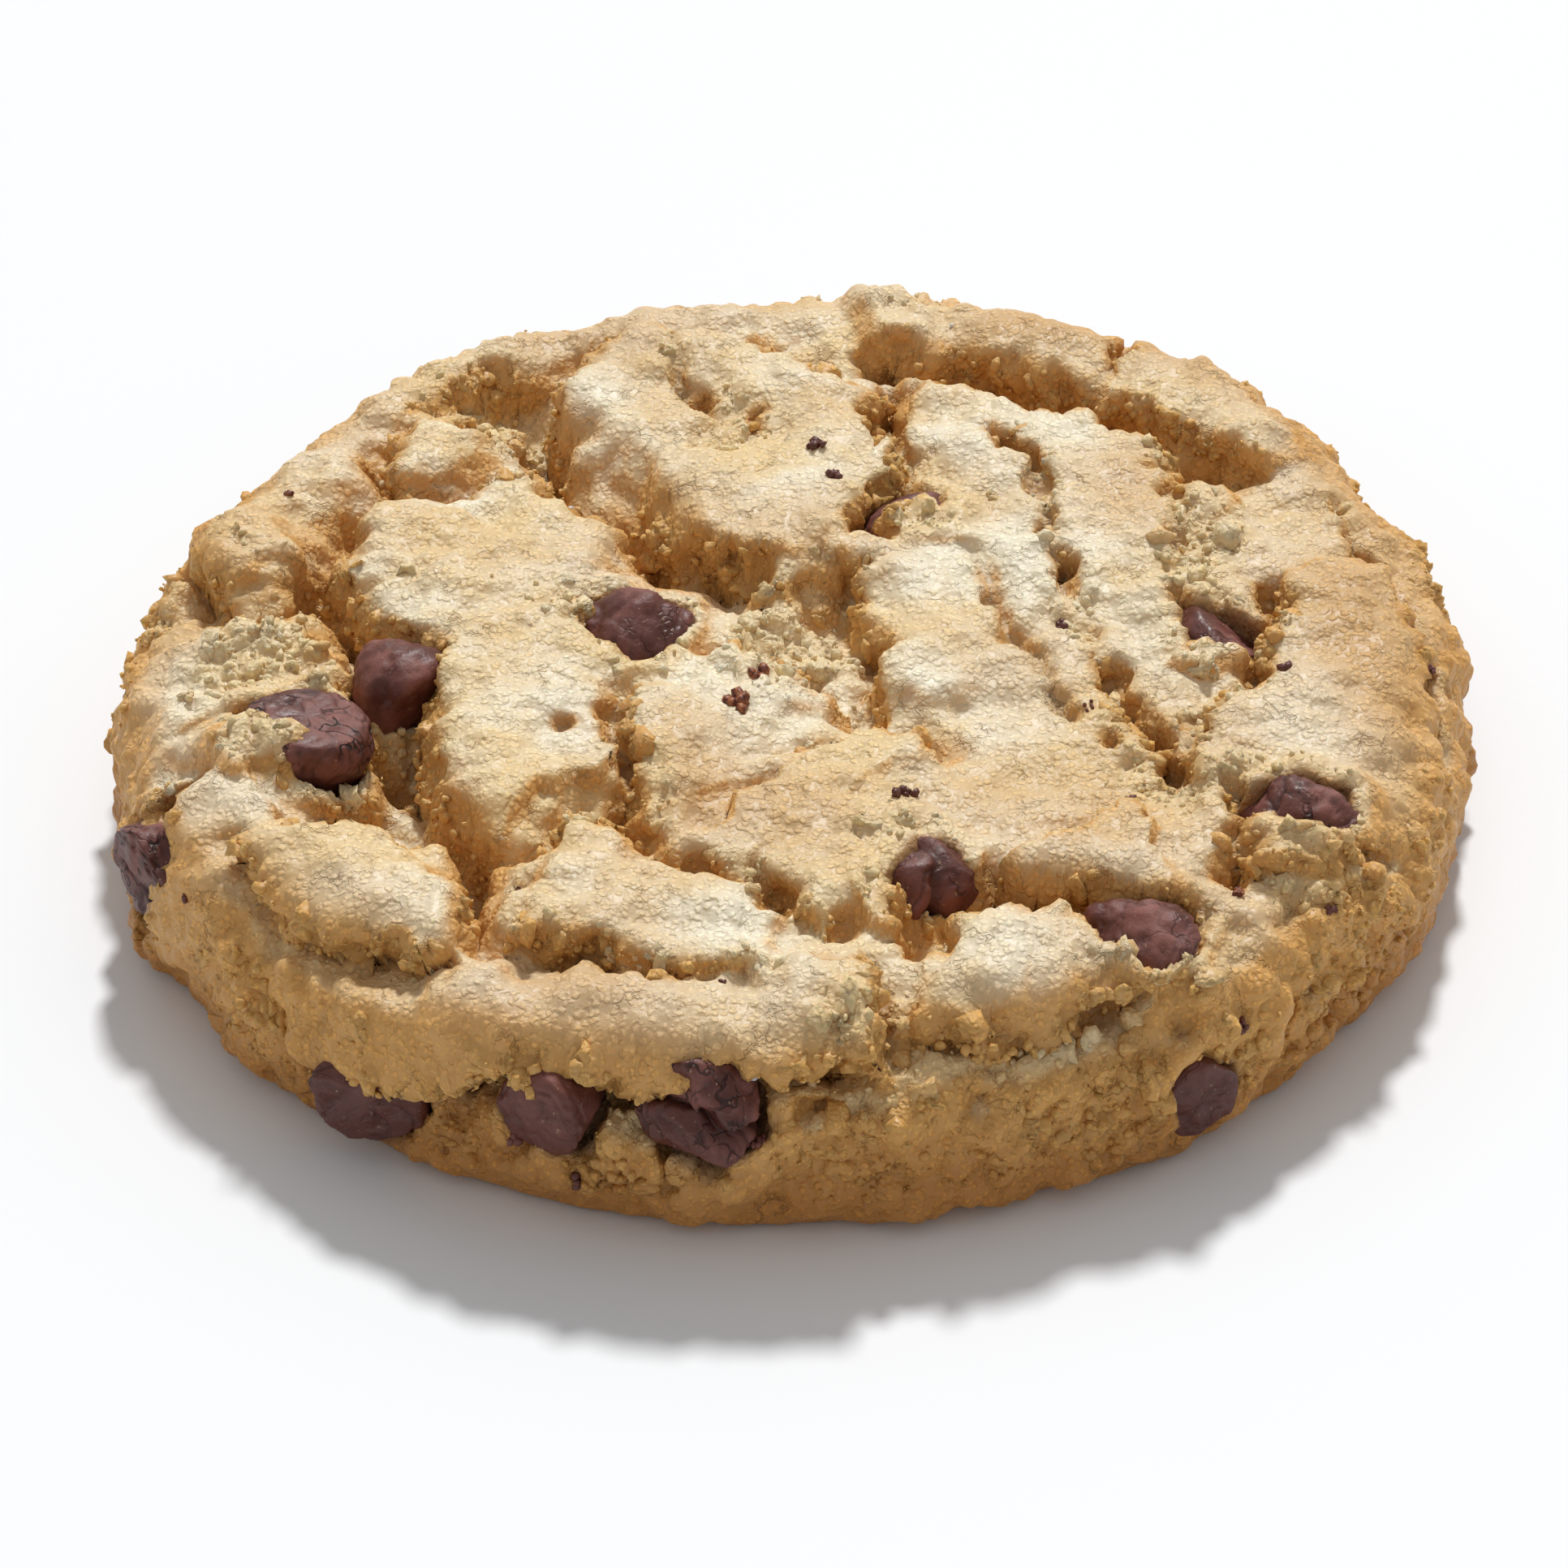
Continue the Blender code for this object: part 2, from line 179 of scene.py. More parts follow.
# A chip is a drop with a round base. lean is the angle from the dough's outward direction to the chip's tip,
# heading is the way the tip leans, and proud is how far its middle stands above the skin. cracked is how deep
# its skin is crazed, and melted how much it has slumped.
Chip = namedtuple("Chip", "node x y width height lean heading proud cracked melted")
CHIPS = (
    Chip("chip_standing", -11.5, 0.5, 9.6, 9.0, 75, 165, -1.6, 0.15, 0.5),
    Chip("chip_oval", -28.6, -5.2, 7.8, 7.6, 78, 130, -1.7, 0.0, 0.2),
    Chip("chip_cracked_disc", -34.8, -13.2, 9.8, 7.5, 172, 250, -0.8, 0.45, 0.1),
    Chip("chip_left_side", -48.0, -22.0, 9.5, 7.5, 165, 30, -1.2, 0.4, 0.6),
    Chip("chip_left_foot", -32.0, -45.5, 8.8, 7.5, 160, 60, -1.4, 0.1, 0.6),
    Chip("chip_in_crevice", -17.0, -49.0, 7.0, 7.0, 155, 60, -1.2, 0.1, 0.4),
    Chip("chip_front", -6.5, -50.0, 8.6, 7.5, 160, 60, -0.8, 0.3, 0.6),
    Chip("chip_folded", 7.5, -29.0, 9.4, 8.5, 80, 120, -2.2, 0.2, 0.6),
    Chip("chip_front_right", 24.5, -36.5, 8.4, 8.0, 80, 150, -2.2, 0.2, 0.6),
    Chip("chip_right", 36.0, -23.0, 8.8, 8.0, 70, 140, -2.0, 0.4, 0.6),
    Chip("chip_right_back", 31.0, -1.0, 8.0, 8.0, 80, 120, -2.0, 0.2, 0.4),
    Chip("chip_covered", 8.5, 14.5, 7.6, 7.0, 70, 220, -2.2, 0.1, 0.3),
    Chip("chip_low_right", 31.0, -47.0, 7.0, 6.5, 165, 0, -1.2, 0.1, 0.4),
    Chip("chip_back_left", -24.0, 48.0, 9.0, 7.5, 160, 30, -1.2, 0.3, 0.4),
    Chip("chip_back_right", 36.0, 42.0, 8.6, 7.5, 165, 200, -1.2, 0.2, 0.5),
    Chip("chip_back_low", 4.0, 54.0, 7.5, 7.0, 165, 0, -2.0, 0.1, 0.4),
)

# Dough that lies over part of a chip: its middle, its half width and half length, the turn of its length from
# the right, and how high it stands.
Cover = namedtuple("Cover", "x y wide long turn lift")
COVERS = (
    Cover(-38.2, -15.4, 2.4, 3.4, 120, 3.4),
    Cover(-35.4, -17.0, 1.2, 2.4, 90, 3.2),
    Cover(5.8, -33.6, 2.4, 3.4, 105, 3.6),
    Cover(35.5, -27.6, 1.6, 3.8, 20, 2.6),
    Cover(25.0, -39.6, 1.6, 4.0, 10, 2.0),
    Cover(9.6, 12.6, 2.8, 3.4, 150, 2.2),
    Cover(6.6, 14.0, 1.6, 2.2, 150, 1.8),
    Cover(30.0, -4.6, 1.6, 2.8, 35, 2.2),
    Cover(-16.4, 1.8, 1.3, 2.2, 160, 1.6),
    Cover(-29.5, -43.0, 1.6, 2.4, 70, 2.2),
    Cover(-17.5, -46.3, 1.6, 3.4, 0, 2.0),
    Cover(-45.5, -18.5, 2.0, 3.6, 30, 2.2),
)

# Holes in the dough: place, half width and depth.
HOLES = (
    (-28.5, -13.0, 1.3, 2.6), (-26.3, -4.5, 1.0, 2.4), (30.5, -29.8, 1.2, 2.6), (16.0, -31.8, 1.0, 2.0),
    (2.4, -36.0, 1.0, 2.4), (-16.5, -12.0, 0.8, 1.6), (-7.4, 29.7, 1.0, 2.2), (-3.8, 27.0, 0.7, 1.6),
    (6.0, 13.0, 1.0, 2.4), (-17.5, -30.5, 0.8, 1.6), (22.5, -14.0, 0.8, 2.0), (-10.0, 12.0, 0.7, 1.8),
    (-20.5, -52.0, 1.1, 2.0), (-5.5, -55.0, 0.9, 1.6), (1.5, -52.0, 0.9, 2.0), (13.0, -50.0, 0.8, 1.6),
    (27.0, -43.0, 0.8, 1.6), (38.0, -36.5, 0.8, 1.8), (-45.5, 8.0, 0.9, 1.8), (6.0, 36.0, 0.9, 2.2),
)

# Bits of chocolate in the dough: place and size.
FLECKS = (
    (7, -22, 1.5), (2.5, 16, 1.6), (1.5, 21.5, 1.6), (36, -7, 1.3), (24, -21, 1.0), (21, -10, 0.8),
    (38, -31, 1.1), (47.5, -2.5, 0.9), (19.5, 1, 1.5), (-20, -51, 1.3), (-16, -54.5, 1.5), (-3, -52.5, 1.2),
    (-42.5, -26.5, 0.9), (-5, -42, 0.7), (31, -41.5, 1.2), (57.5, 16, 1.6), (-7, 36.5, 1.3), (-30, 52, 1.2),
    (18, 53, 1.4), (-52, 22, 1.1), (44, 30, 1.0), (-18.5, -30, 1.0),
)
# Golden crumbs lying loose on the dough: place and size.
LOOSE = (
    (-12, -37.5, 1.6), (-10.6, -38, 1.1), (-14, -23, 1.8), (-38, -24, 1.2), (14, 16, 1.0), (21, -4, 0.9),
    (-44, -8, 1.1),
)
# Sugar crystals: place and size.
SUGAR = ((-17, 18.4, 1.1), (-45, -21, 0.6), (12, 40, 0.5), (24, -38.5, 0.5), (-3, -49, 0.6))
# Burnt sugar spots: place and size.
BURNT = ((-3.5, -6.6, 1.5), (-4.0, -10.2, 1.7), (31, -31.5, 0.9), (-39, 18, 0.7))


# ---------------------------------------------------------------------------------------------------- noise


def hashed(cells, seed):
    """Even numbers from 0 to 1 for whole-number cells: their coordinates times three primes, mixed by shifts."""
    mixed = cells[..., 0] * 73856093 + cells[..., 1] * 19349663 + cells[..., 2] * 83492791 + seed * 7919
    mixed = (mixed & 0xFFFFFFFF) ^ ((mixed & 0xFFFFFFFF) >> 13)
    mixed = (mixed * 1274126177) & 0xFFFFFFFF
    mixed ^= mixed >> 16
    mixed = (mixed * 2246822519) & 0xFFFFFFFF
    mixed ^= mixed >> 15
    return mixed / 4294967296.0


def waves(points, size, seed):
    """Smooth noise about -1 to 1 with lumps of one size: a random slope at each lattice corner, blended."""
    place = points / size
    corner = np.floor(place).astype(np.int64)
    part = place - corner
    blend = part * part * part * (part * (part * 6 - 15) + 10)
    total = np.zeros(len(points))
    for i in (0, 1):
        for j in (0, 1):
            for k in (0, 1):
                cell = corner + (i, j, k)
                slope = [hashed(cell, seed + axis * 101) * 2 - 1 for axis in range(3)]
                dot = sum(slope[axis] * (part[:, axis] - (i, j, k)[axis]) for axis in range(3))
                share = np.prod(np.where((i, j, k), blend, 1 - blend), axis=1)
                total += share * dot
    return total * 1.6


def layered(points, size, seed, layers=3, gain=0.5):
    """Several sizes of smooth noise added, each half the size of the last and gain times its height."""
    return sum(waves(points, size / 2**n, seed + 17 * n) * gain**n for n in range(layers))


def cells(points, size, seed):
    """Distances to the nearest and the second nearest of points strewn one to a cell, in cell widths."""
    place = points / size
    corner = np.floor(place).astype(np.int64)
    nearest = np.full(len(points), 9.0)
    second = np.full(len(points), 9.0)
    for i in (-1, 0, 1):
        for j in (-1, 0, 1):
            for k in (-1, 0, 1):
                cell = corner + (i, j, k)
                seedling = cell + np.stack([hashed(cell, seed + axis * 211) for axis in range(3)], axis=-1)
                gap = np.linalg.norm(seedling - place, axis=1)
                second = np.minimum(second, np.maximum(gap, nearest))
                nearest = np.minimum(nearest, gap)
    return nearest, second


def smooth(value):
    """0 below 0 and 1 above 1, with an S-shaped rise between."""
    value = np.clip(value, 0, 1)
    return value * value * (3 - 2 * value)


# ------------------------------------------------------------------------------------------------- the dough


class Form:
    """The dough's turned form: a flat top, a wide round top edge, a short wall, a tight round base edge."""

    def __init__(self, settings):
        self.radius = settings.radius / MM
        self.thickness = settings.thickness / MM
        self.top_round = settings.top_round / MM
        self.base_round = settings.base_round / MM
        self.oval = settings.oval
        self.oval_turn = settings.oval_turn
        self.edge_start = self.radius - self.top_round
        self.wall_start = self.edge_start + self.top_round * math.pi / 2
        self.wall_end = self.wall_start + self.thickness - self.top_round - self.base_round
        self.base_start = self.wall_end + self.base_round * math.pi / 2

    def at(self, x, y):
        """Points of the turned form, in mm, and their outward directions, at places of the laid-out skin."""
        run = np.hypot(x, y)
        turn = np.arctan2(y, x)
        top_angle = np.clip((run - self.edge_start) / self.top_round, 0, math.pi / 2)
        base_angle = np.clip((run - self.wall_end) / self.base_round, 0, math.pi / 2)
        wall = np.clip(run - self.wall_start, 0, self.wall_end - self.wall_start)
        radius = np.minimum(run, self.edge_start) + self.top_round * np.sin(top_angle)
        radius = radius - self.base_round * (1 - np.cos(base_angle)) - np.maximum(run - self.base_start, 0)
        height = self.thickness - self.top_round * (1 - np.cos(top_angle)) - wall
        height = height - self.base_round * np.sin(base_angle)
        radius = radius * (1 + self.oval * np.cos(2 * (turn - self.oval_turn)))
        out, up = np.sin(top_angle + base_angle), np.cos(top_angle + base_angle)
        place = np.stack([radius * np.cos(turn), radius * np.sin(turn), height], axis=-1)
        outward = np.stack([out * np.cos(turn), out * np.sin(turn), up], axis=-1)
        return place, outward


def rounded(points, pieces=4):
    """A smooth curve through points: each span is cut in pieces along the cubic that its two neighbours bend."""
    points = np.array(points, float)
    before = np.concatenate([[2 * points[0] - points[1]], points[:-1]])
    after = np.concatenate([points[1:], [2 * points[-1] - points[-2]]])
    slope = (after - before) / 2
    share = np.linspace(0, 1, pieces, endpoint=False)[None, :, None]
    start, end, out, back = (part[:, None] for part in (points[:-1], points[1:], slope[:-1], slope[1:]))
    curve = (2 * share**3 - 3 * share**2 + 1) * start + (share**3 - 2 * share**2 + share) * out
    curve = curve + (3 * share**2 - 2 * share**3) * end + (share**3 - share**2) * back
    return np.concatenate([curve.reshape(-1, 2), points[-1:]])


def fold_sides(x, y, points):
    """For each place: the signed distance to a fold (left is positive), how far along it is, its whole length,
    and the direction to the fold's left."""
    steps = np.diff(points, axis=0)
    lengths = np.hypot(*steps.T)
    starts = np.concatenate([[0], np.cumsum(lengths)])
    nearest = np.full(x.shape, np.inf)
    along = np.zeros(x.shape)
    side = np.zeros(x.shape)
    left_x = np.zeros(x.shape)
    left_y = np.zeros(x.shape)
    for point, step, length, start in zip(points, steps, lengths, starts):
        across = ((y - point[1]) * step[0] - (x - point[0]) * step[1]) / length
        share = np.clip(((x - point[0]) * step[0] + (y - point[1]) * step[1]) / length**2, 0, 1)
        gap = np.hypot(x - point[0] - share * step[0], y - point[1] - share * step[1])
        closer = gap < nearest
        nearest = np.where(closer, gap, nearest)
        along = np.where(closer, start + share * length, along)
        side = np.where(closer, np.copysign(gap, across), side)
        left_x = np.where(closer, -step[1] / length, left_x)
        left_y = np.where(closer, step[0] / length, left_y)
    return side, along, starts[-1], left_x, left_y


# A fold fades out over FOLD_END mm at each end. FOLD_SCALE, LOW_SCALE and CRACK_SCALE multiply the table's
# heights, its low sides and its cracks. The round on the high side is ROUND_SHARE of the reach wide and the crack
# CRACK_WIDTH of it. The round leans over the line by LIP_PUSH of its height, most at LIP_PLACE mm from the line,
# and the dough is torn over TORN_WIDTH mm.
FOLD_END = 4.0
FOLD_SCALE = 1.7
ROUND_SHARE = 0.50
CRACK_SCALE = 1.7
LOW_SCALE = 1.4
CRACK_WIDTH = 0.17
LIP_PUSH = 0.16
LIP_PLACE = 1.2
TORN_WIDTH = 1.5


def folded(x, y, place, form):
    """What the folds do at each place: height, sideways push, how cracked and how torn the dough is there. The
    high side of a fold rises from the line like a quarter of a round, and sinks back to the slab over its reach."""
    height = np.zeros(x.shape)
    push = np.zeros((len(x), 2))
    cracked = np.zeros(x.shape)
    torn = np.zeros(x.shape)
    open_share = np.clip(0.7 + 1.3 * waves(place, 4.5, 71), 0.0, 1.4)
    for number, fold in enumerate(FOLDS):
        points = rounded(fold.points)
        low_corner, high_corner = points.min(0) - 3 * fold.reach, points.max(0) + 3 * fold.reach
        near = (x > low_corner[0]) & (x < high_corner[0]) & (y > low_corner[1]) & (y < high_corner[1])
        side, along, length, left_x, left_y = fold_sides(x[near], y[near], points)
        far = np.abs(side)
        ends = smooth((along + 0.3) / FOLD_END) * smooth((length - along + 0.3) / FOLD_END)
        swell = ends * FOLD_SCALE * np.clip(1.0 + 0.8 * waves(place[near], 9.0, 300 + number), 0.45, 1.5)
        toward_high = 1 if fold.left >= fold.right else -1
        high, low = max(fold.left, fold.right), min(fold.left, fold.right)
        inside = side * toward_high
        if fold.left == fold.right and fold.crack == 0:
            bent = high * np.exp(-((far / fold.reach) ** 2))
            split = np.zeros(far.shape)
        else:
            wide = ROUND_SHARE * fold.reach * np.clip(1 + 0.7 * waves(place[near], 5.0, 350 + number), 0.5, 1.6)
            share = np.clip(inside / wide + 0.08, 0, 1)
            rise = (1 - (1 - share) ** 2) ** 0.62
            bent = high * rise * np.exp(-((np.maximum(inside - wide, 0) / (1.3 * fold.reach)) ** 2))
            bent += LOW_SCALE * low * (1 - rise) * np.exp(-((np.maximum(-inside, 0) / (0.75 * fold.reach)) ** 2))
            opened = np.maximum(open_share[near], 0.8 * (fold.crack > 2))
            split = ends * np.exp(-((far / (CRACK_WIDTH * fold.reach)) ** 1.5)) * opened
        height[near] += swell * bent - CRACK_SCALE * fold.crack * split
        lip = swell * LIP_PUSH * (high - low) * np.exp(-(((inside - LIP_PLACE) / LIP_PLACE) ** 2))
        push[near, 0] -= toward_high * left_x * lip
        push[near, 1] -= toward_high * left_y * lip
        cracked[near] = np.maximum(cracked[near], split * min(fold.crack, 1.2))
        strength = min((high - low + fold.crack) / 2.2, 1.0)
        torn[near] = np.maximum(torn[near], strength * ends * np.exp(-(((inside - 0.1) / TORN_WIDTH) ** 2)))
    return height, push, cracked, torn


def area_share(x, y, area, sharp=1.3):
    """1 in the middle of an area and 0 outside it."""
    turn = math.radians(area.turn)
    along = (x - area.x) * math.cos(turn) + (y - area.y) * math.sin(turn)
    across = -(x - area.x) * math.sin(turn) + (y - area.y) * math.cos(turn)
    return smooth(0.3 + sharp * (1 - np.hypot(along / area.long, across / area.wide)))


def chip_frame(form, chip):
    """A chip's middle, in mm, and its three directions as rows: across, across and towards the tip."""
    place, outward = form.at(np.array([float(chip.x)]), np.array([float(chip.y)]))
    outward = Vector(outward[0])
    heading = math.radians(chip.heading)
    flat_way = Vector((math.cos(heading), math.sin(heading), 0))
    along = (flat_way - outward * flat_way.dot(outward)).normalized()
    lean = math.radians(chip.lean)
    tip = outward * math.cos(lean) + along * math.sin(lean)
    turned = tip.to_track_quat("Z", "Y").to_matrix().transposed()
    return place[0] + np.array(outward) * chip.proud, np.array(turned)


# How much of a chip's height is above its middle, and how much its top narrows.
TIP_SHARE = 0.66
CHIP_TAPER = 0.35
# The most that the dough stands above its turned form, in mm, on the top and on the side.
CREST_TOP = 2.7
CREST_SIDE = 1.3
# Ragged edges: how far places are pushed about, in mm, and how long the waves are that push them.
RAG_PUSH, RAG_LENGTH = 1.2, 6.0
FRAY_PUSH, FRAY_LENGTH = 0.75, 3.0
# Slow lumps: height and length on the whole dough, more of them on the side, and the length of short ones.
LUMP_HEIGHT, LUMP_LENGTH = 0.7, 12.0
SIDE_HEIGHT, SIDE_LENGTH = 0.4, 15.0
KNOB_LENGTH = 6.0
# At a chip: depth of its pocket, height and reach of the lip round it, and how high the dough over it stands.
POCKET_DEPTH = 2.2
LIP_HEIGHT = 0.9
LIP_REACH = 1.3
COVER_SCALE = 0.8
# Over how many mm the relief fades out above the flat underside.
BASE_FADE = 4.0


def chip_distance(points, middle, turned, chip):
    """About how far points are outside a chip, in mm: below 0 within it."""
    local = (points - middle) @ turned.T
    level = local[:, 2]
    tall = np.where(level > 0, chip.height * TIP_SHARE, chip.height * (1 - TIP_SHARE))
    share = np.clip(level / tall, -1.5, 1.5)
    half = chip.width / 2 * (1 - CHIP_TAPER * np.clip(share, 0, 1))
    reach = np.hypot(np.hypot(local[:, 0], local[:, 1]) / half, share)
    return (reach - 1) * np.minimum(half, chip.width / 2)


def coarse_dough(x, y, form):
    """The dough without its fine crumb, at places of the laid-out skin. Ragged warping of the places comes first,
    then the folds, torn areas and holes, then slow lumps, then the dough over chips, their pockets and lips. The
    sum h is held to crest * tanh(h / crest), and fades out above the base."""
    place, outward = form.at(x, y)
    run = np.hypot(x, y)
    on_side = smooth((run - form.edge_start - 2) / 8)
    rag = [RAG_PUSH * waves(place, RAG_LENGTH, seed) for seed in (3, 4)]
    fine = [FRAY_PUSH * layered(place, FRAY_LENGTH, seed, 2) for seed in (5, 6)]
    warped_x, warped_y = x + rag[0] + fine[0], y + rag[1] + fine[1]
    height, push, cracked, torn = folded(warped_x, warped_y, place, form)
    for area in AREAS:
        share = area_share(warped_x, warped_y, area)
        height -= area.sunk * share
        torn = np.maximum(torn, area.rough * share)
    for hole_x, hole_y, wide, deep in HOLES:
        share = np.exp(-(((warped_x - hole_x) ** 2 + (warped_y - hole_y) ** 2) / wide**2))
        height -= deep * share
        # Holes count as cracked, so they take the painted shade of the cracks.
        cracked = np.maximum(cracked, share)
    torn = np.clip(np.maximum(torn, (0.5 + 0.6 * waves(place, 9.0, 53)) * on_side), 0, 1)
    height += LUMP_HEIGHT * waves(place, LUMP_LENGTH, 11) + on_side * SIDE_HEIGHT * waves(place, SIDE_LENGTH, 13)
    height += (0.6 + 0.5 * torn) * (1 - 0.4 * on_side) * waves(place, KNOB_LENGTH, 12)

    pocket = np.zeros(len(x))
    covered = np.zeros(len(x))
    shown = place + outward * height[:, None]
    for cover in COVERS:
        share = area_share(warped_x, warped_y, cover, 2.0)
        covered = np.maximum(covered, share)
        height += cover.lift * share * COVER_SCALE
        torn = np.maximum(torn, 0.7 * share)
    for chip in CHIPS:
        middle, turned = chip_frame(form, chip)
        gap = chip_distance(shown, middle, turned, chip) + 0.35 * fine[0] + 0.3 * rag[1]
        height -= POCKET_DEPTH * smooth(-(gap - 0.1) / 0.5) * (1 - covered)
        height += LIP_HEIGHT * np.exp(-(((gap - LIP_REACH) / LIP_REACH) ** 2)) * (1 - covered)
        pocket = np.maximum(pocket, smooth(-(gap - 0.4) / 0.6) * (1 - covered))
        torn = np.maximum(torn, 0.6 * np.exp(-(((gap - 0.8) / 1.2) ** 2)))

    crest = CREST_TOP + (CREST_SIDE - CREST_TOP) * on_side
    height = np.where(height > 0, crest * np.tanh(height / crest), height)
    keep = smooth((form.base_start - 0.6 - run) / BASE_FADE)
    height *= keep
    push *= keep[:, None]
    place, outward = form.at(x + push[:, 0], y + push[:, 1])
    return place + outward * height[:, None], cracked, torn, pocket, keep


# Fine relief in waves: height on whole dough, height added where it is torn, length and noise number.
CRUMB_WAVES = ((0.50, 0.35, 3.6, 14), (0.28, 0.35, 1.9, 15), (0.08, 0.12, 1.1, 16))
# Rounded lumps: size of the large and the small ones, how far their outlines are bent, and the clefts between.
LUMP_SIZE, LUMP_BEND = 2.6, 0.7
SMALL_LUMP_SIZE, SMALL_LUMP_BEND = 1.5, 0.4
CLEFT_WIDTH = 0.14


def fine_crumb(places, torn, settings):
    """Height of the small relief: waves from 4 mm down, rounded lumps of two sizes and the clefts between them,
    all stronger where the dough is torn."""
    height = sum((whole + more * torn) * waves(places, size, seed) for whole, more, size, seed in CRUMB_WAVES)
    bend = np.stack([waves(places, 2.0, seed) for seed in (61, 62, 63)], -1)
    lump, lump_edge = cells(places + LUMP_BEND * bend, LUMP_SIZE, 21)
    small = cells(places + SMALL_LUMP_BEND * bend, SMALL_LUMP_SIZE, 22)[0]
    depth = settings.crumb_depth / MM
    height += depth * ((0.15 + 0.7 * torn) * (0.5 - lump) + (0.15 + 0.5 * torn) * (0.5 - small))
    height -= depth * (0.08 + 0.22 * torn) * np.exp(-(((lump_edge - lump) / CLEFT_WIDTH) ** 2))
    return height


# The grid is drawn together in rounds of small steps. A neighbour weighs its stretch to the power below, with
# the stretch held inside a range, and a place goes SETTLE_SHARE of the way at each step.
SETTLE_ROUNDS = 2
SETTLE_STEPS = 15
SETTLE_SHARE = 0.8
STRETCH_RANGE = 0.5, 4.0
STRETCH_POWER = 1.3
# How fast a leaning face counts as steep.
STEEP_GAIN = 2.6


def settled(x, y, form, across):
    """The grid's places, drawn together where the dough is steep: each place moves to the mean of its neighbours,
    weighted by how much the dough stretches between them."""
    x, y = x.reshape(across, across), y.reshape(across, across)
    for _ in range(SETTLE_ROUNDS):
        surface = coarse_dough(x.ravel(), y.ravel(), form)[0].reshape(across, across, 3)
        weights = []
        for axis in (0, 1):
            long = np.linalg.norm(np.diff(surface, axis=axis), axis=-1)
            flat = np.hypot(np.diff(x, axis=axis), np.diff(y, axis=axis))
            weights.append(np.clip(long / flat, *STRETCH_RANGE) ** STRETCH_POWER)
        down, right = weights
        up_w, down_w = down[:-1, 1:-1], down[1:, 1:-1]
        left_w, right_w = right[1:-1, :-1], right[1:-1, 1:]
        total = up_w + down_w + left_w + right_w
        for _ in range(SETTLE_STEPS):
            for flat in (x, y):
                moved = up_w * flat[:-2, 1:-1] + down_w * flat[2:, 1:-1]
                moved = moved + left_w * flat[1:-1, :-2] + right_w * flat[1:-1, 2:]
                flat[1:-1, 1:-1] += SETTLE_SHARE * (moved / total - flat[1:-1, 1:-1])
    return x.ravel(), y.ravel()


def dough_skin(x, y, quads, form, settings):
    """The whole dough surface: the coarse dough on a settled grid, with the fine crumb moved out along the coarse
    dough's own directions, so that steep faces take it too."""
    across = settings.grid + 1
    x, y = settled(x.copy(), y.copy(), form, across)
    places, cracked, torn, pocket, keep = coarse_dough(x, y, form)
    directions = face_outward(places, quads)
    # The steep share picks out the golden colour that is partly painted shade.
    steep = smooth(STEEP_GAIN * (1 - directions[:, 2]) - 0.1)
    places = places + directions * (keep * fine_crumb(places, torn, settings))[:, None]
    places[:, 2] = np.maximum(places[:, 2], 0)
    return places, cracked, torn, pocket, steep


# Browning starts this far from the middle and is full over this much more; the side is browner from this height
# down, over this much.
RIM_START, RIM_WIDTH = 34, 16
LOW_TOP, LOW_DEPTH = 9.5, 8.0


def baking(places):
    """How browned the dough is: most at the rim, more at the right and the back right than at the left, in patches;
    and how low it lies on the side, where it is brownest."""
    x, y, z = places.T
    rim = smooth((np.hypot(x, y) - RIM_START) / RIM_WIDTH)
    browned = 0.12 + 0.45 * rim + 0.30 * smooth((x + 5) / 40) + 0.9 * waves(places, 16.0, 401)
    low = smooth((LOW_TOP - z + 2.0 * waves(places, 8.0, 402)) / LOW_DEPTH)
    return np.clip(browned, 0, 1), low


def square_to_disc(cells_each_way, reach):
    """Places of a square grid wrapped onto a disc, ring by ring, and the order of its rim vertices."""
    line = np.linspace(-1, 1, cells_each_way + 1)
    wide, deep = np.meshgrid(line, line)
    a, b = np.abs(wide), np.abs(deep)
    run = reach * np.maximum(a, b)
    share = np.minimum(a, b) / np.maximum(np.maximum(a, b), 1e-9)
    turn = np.where(a >= b, share, 2 - share) * math.pi / 4
    x = run * np.cos(turn) * np.where(wide < 0, -1, 1)
    y = run * np.sin(turn) * np.where(deep < 0, -1, 1)
    index = np.arange((cells_each_way + 1) ** 2).reshape(cells_each_way + 1, -1)
    quads = np.stack([index[:-1, :-1], index[:-1, 1:], index[1:, 1:], index[1:, :-1]], -1).reshape(-1, 4)
    rim = np.concatenate([index[0, :-1], index[:-1, -1], index[-1, :0:-1], index[:0:-1, 0]])
    return x.ravel(), y.ravel(), quads, rim


def face_outward(places, quads):
    """The outward direction at each vertex: the area-weighted mean of its quads' normals."""
    corners = places[quads]
    normal = np.cross(corners[:, 2] - corners[:, 0], corners[:, 3] - corners[:, 1])
    total = np.zeros_like(places)
    for corner in range(4):
        np.add.at(total, quads[:, corner], normal)
    return total / np.maximum(np.linalg.norm(total, axis=1, keepdims=True), 1e-12)


def new_piece(name, vertices, faces, material, attributes=None):
    """A mesh object from arrays in metres, riding on the cookie, with one float attribute per named array."""
    mesh = bpy.data.meshes.new(name)
    mesh.from_pydata(vertices.tolist(), [], faces)
    for key, values in (attributes or {}).items():
        layer = mesh.attributes.new(key, "FLOAT", "POINT")
        layer.data.foreach_set("value", np.ascontiguousarray(values, np.float32))
    mesh.materials.append(material)
    mesh.shade_smooth()
    mesh.validate()
    thing = bpy.data.objects.new(name, mesh)
    bpy.context.scene.collection.objects.link(thing)
    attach(thing, BODY)
    return thing


# The rings of the flat underside, as shares of its rim.
UNDERSIDE_RINGS = (0.97, 0.9, 0.75, 0.5)


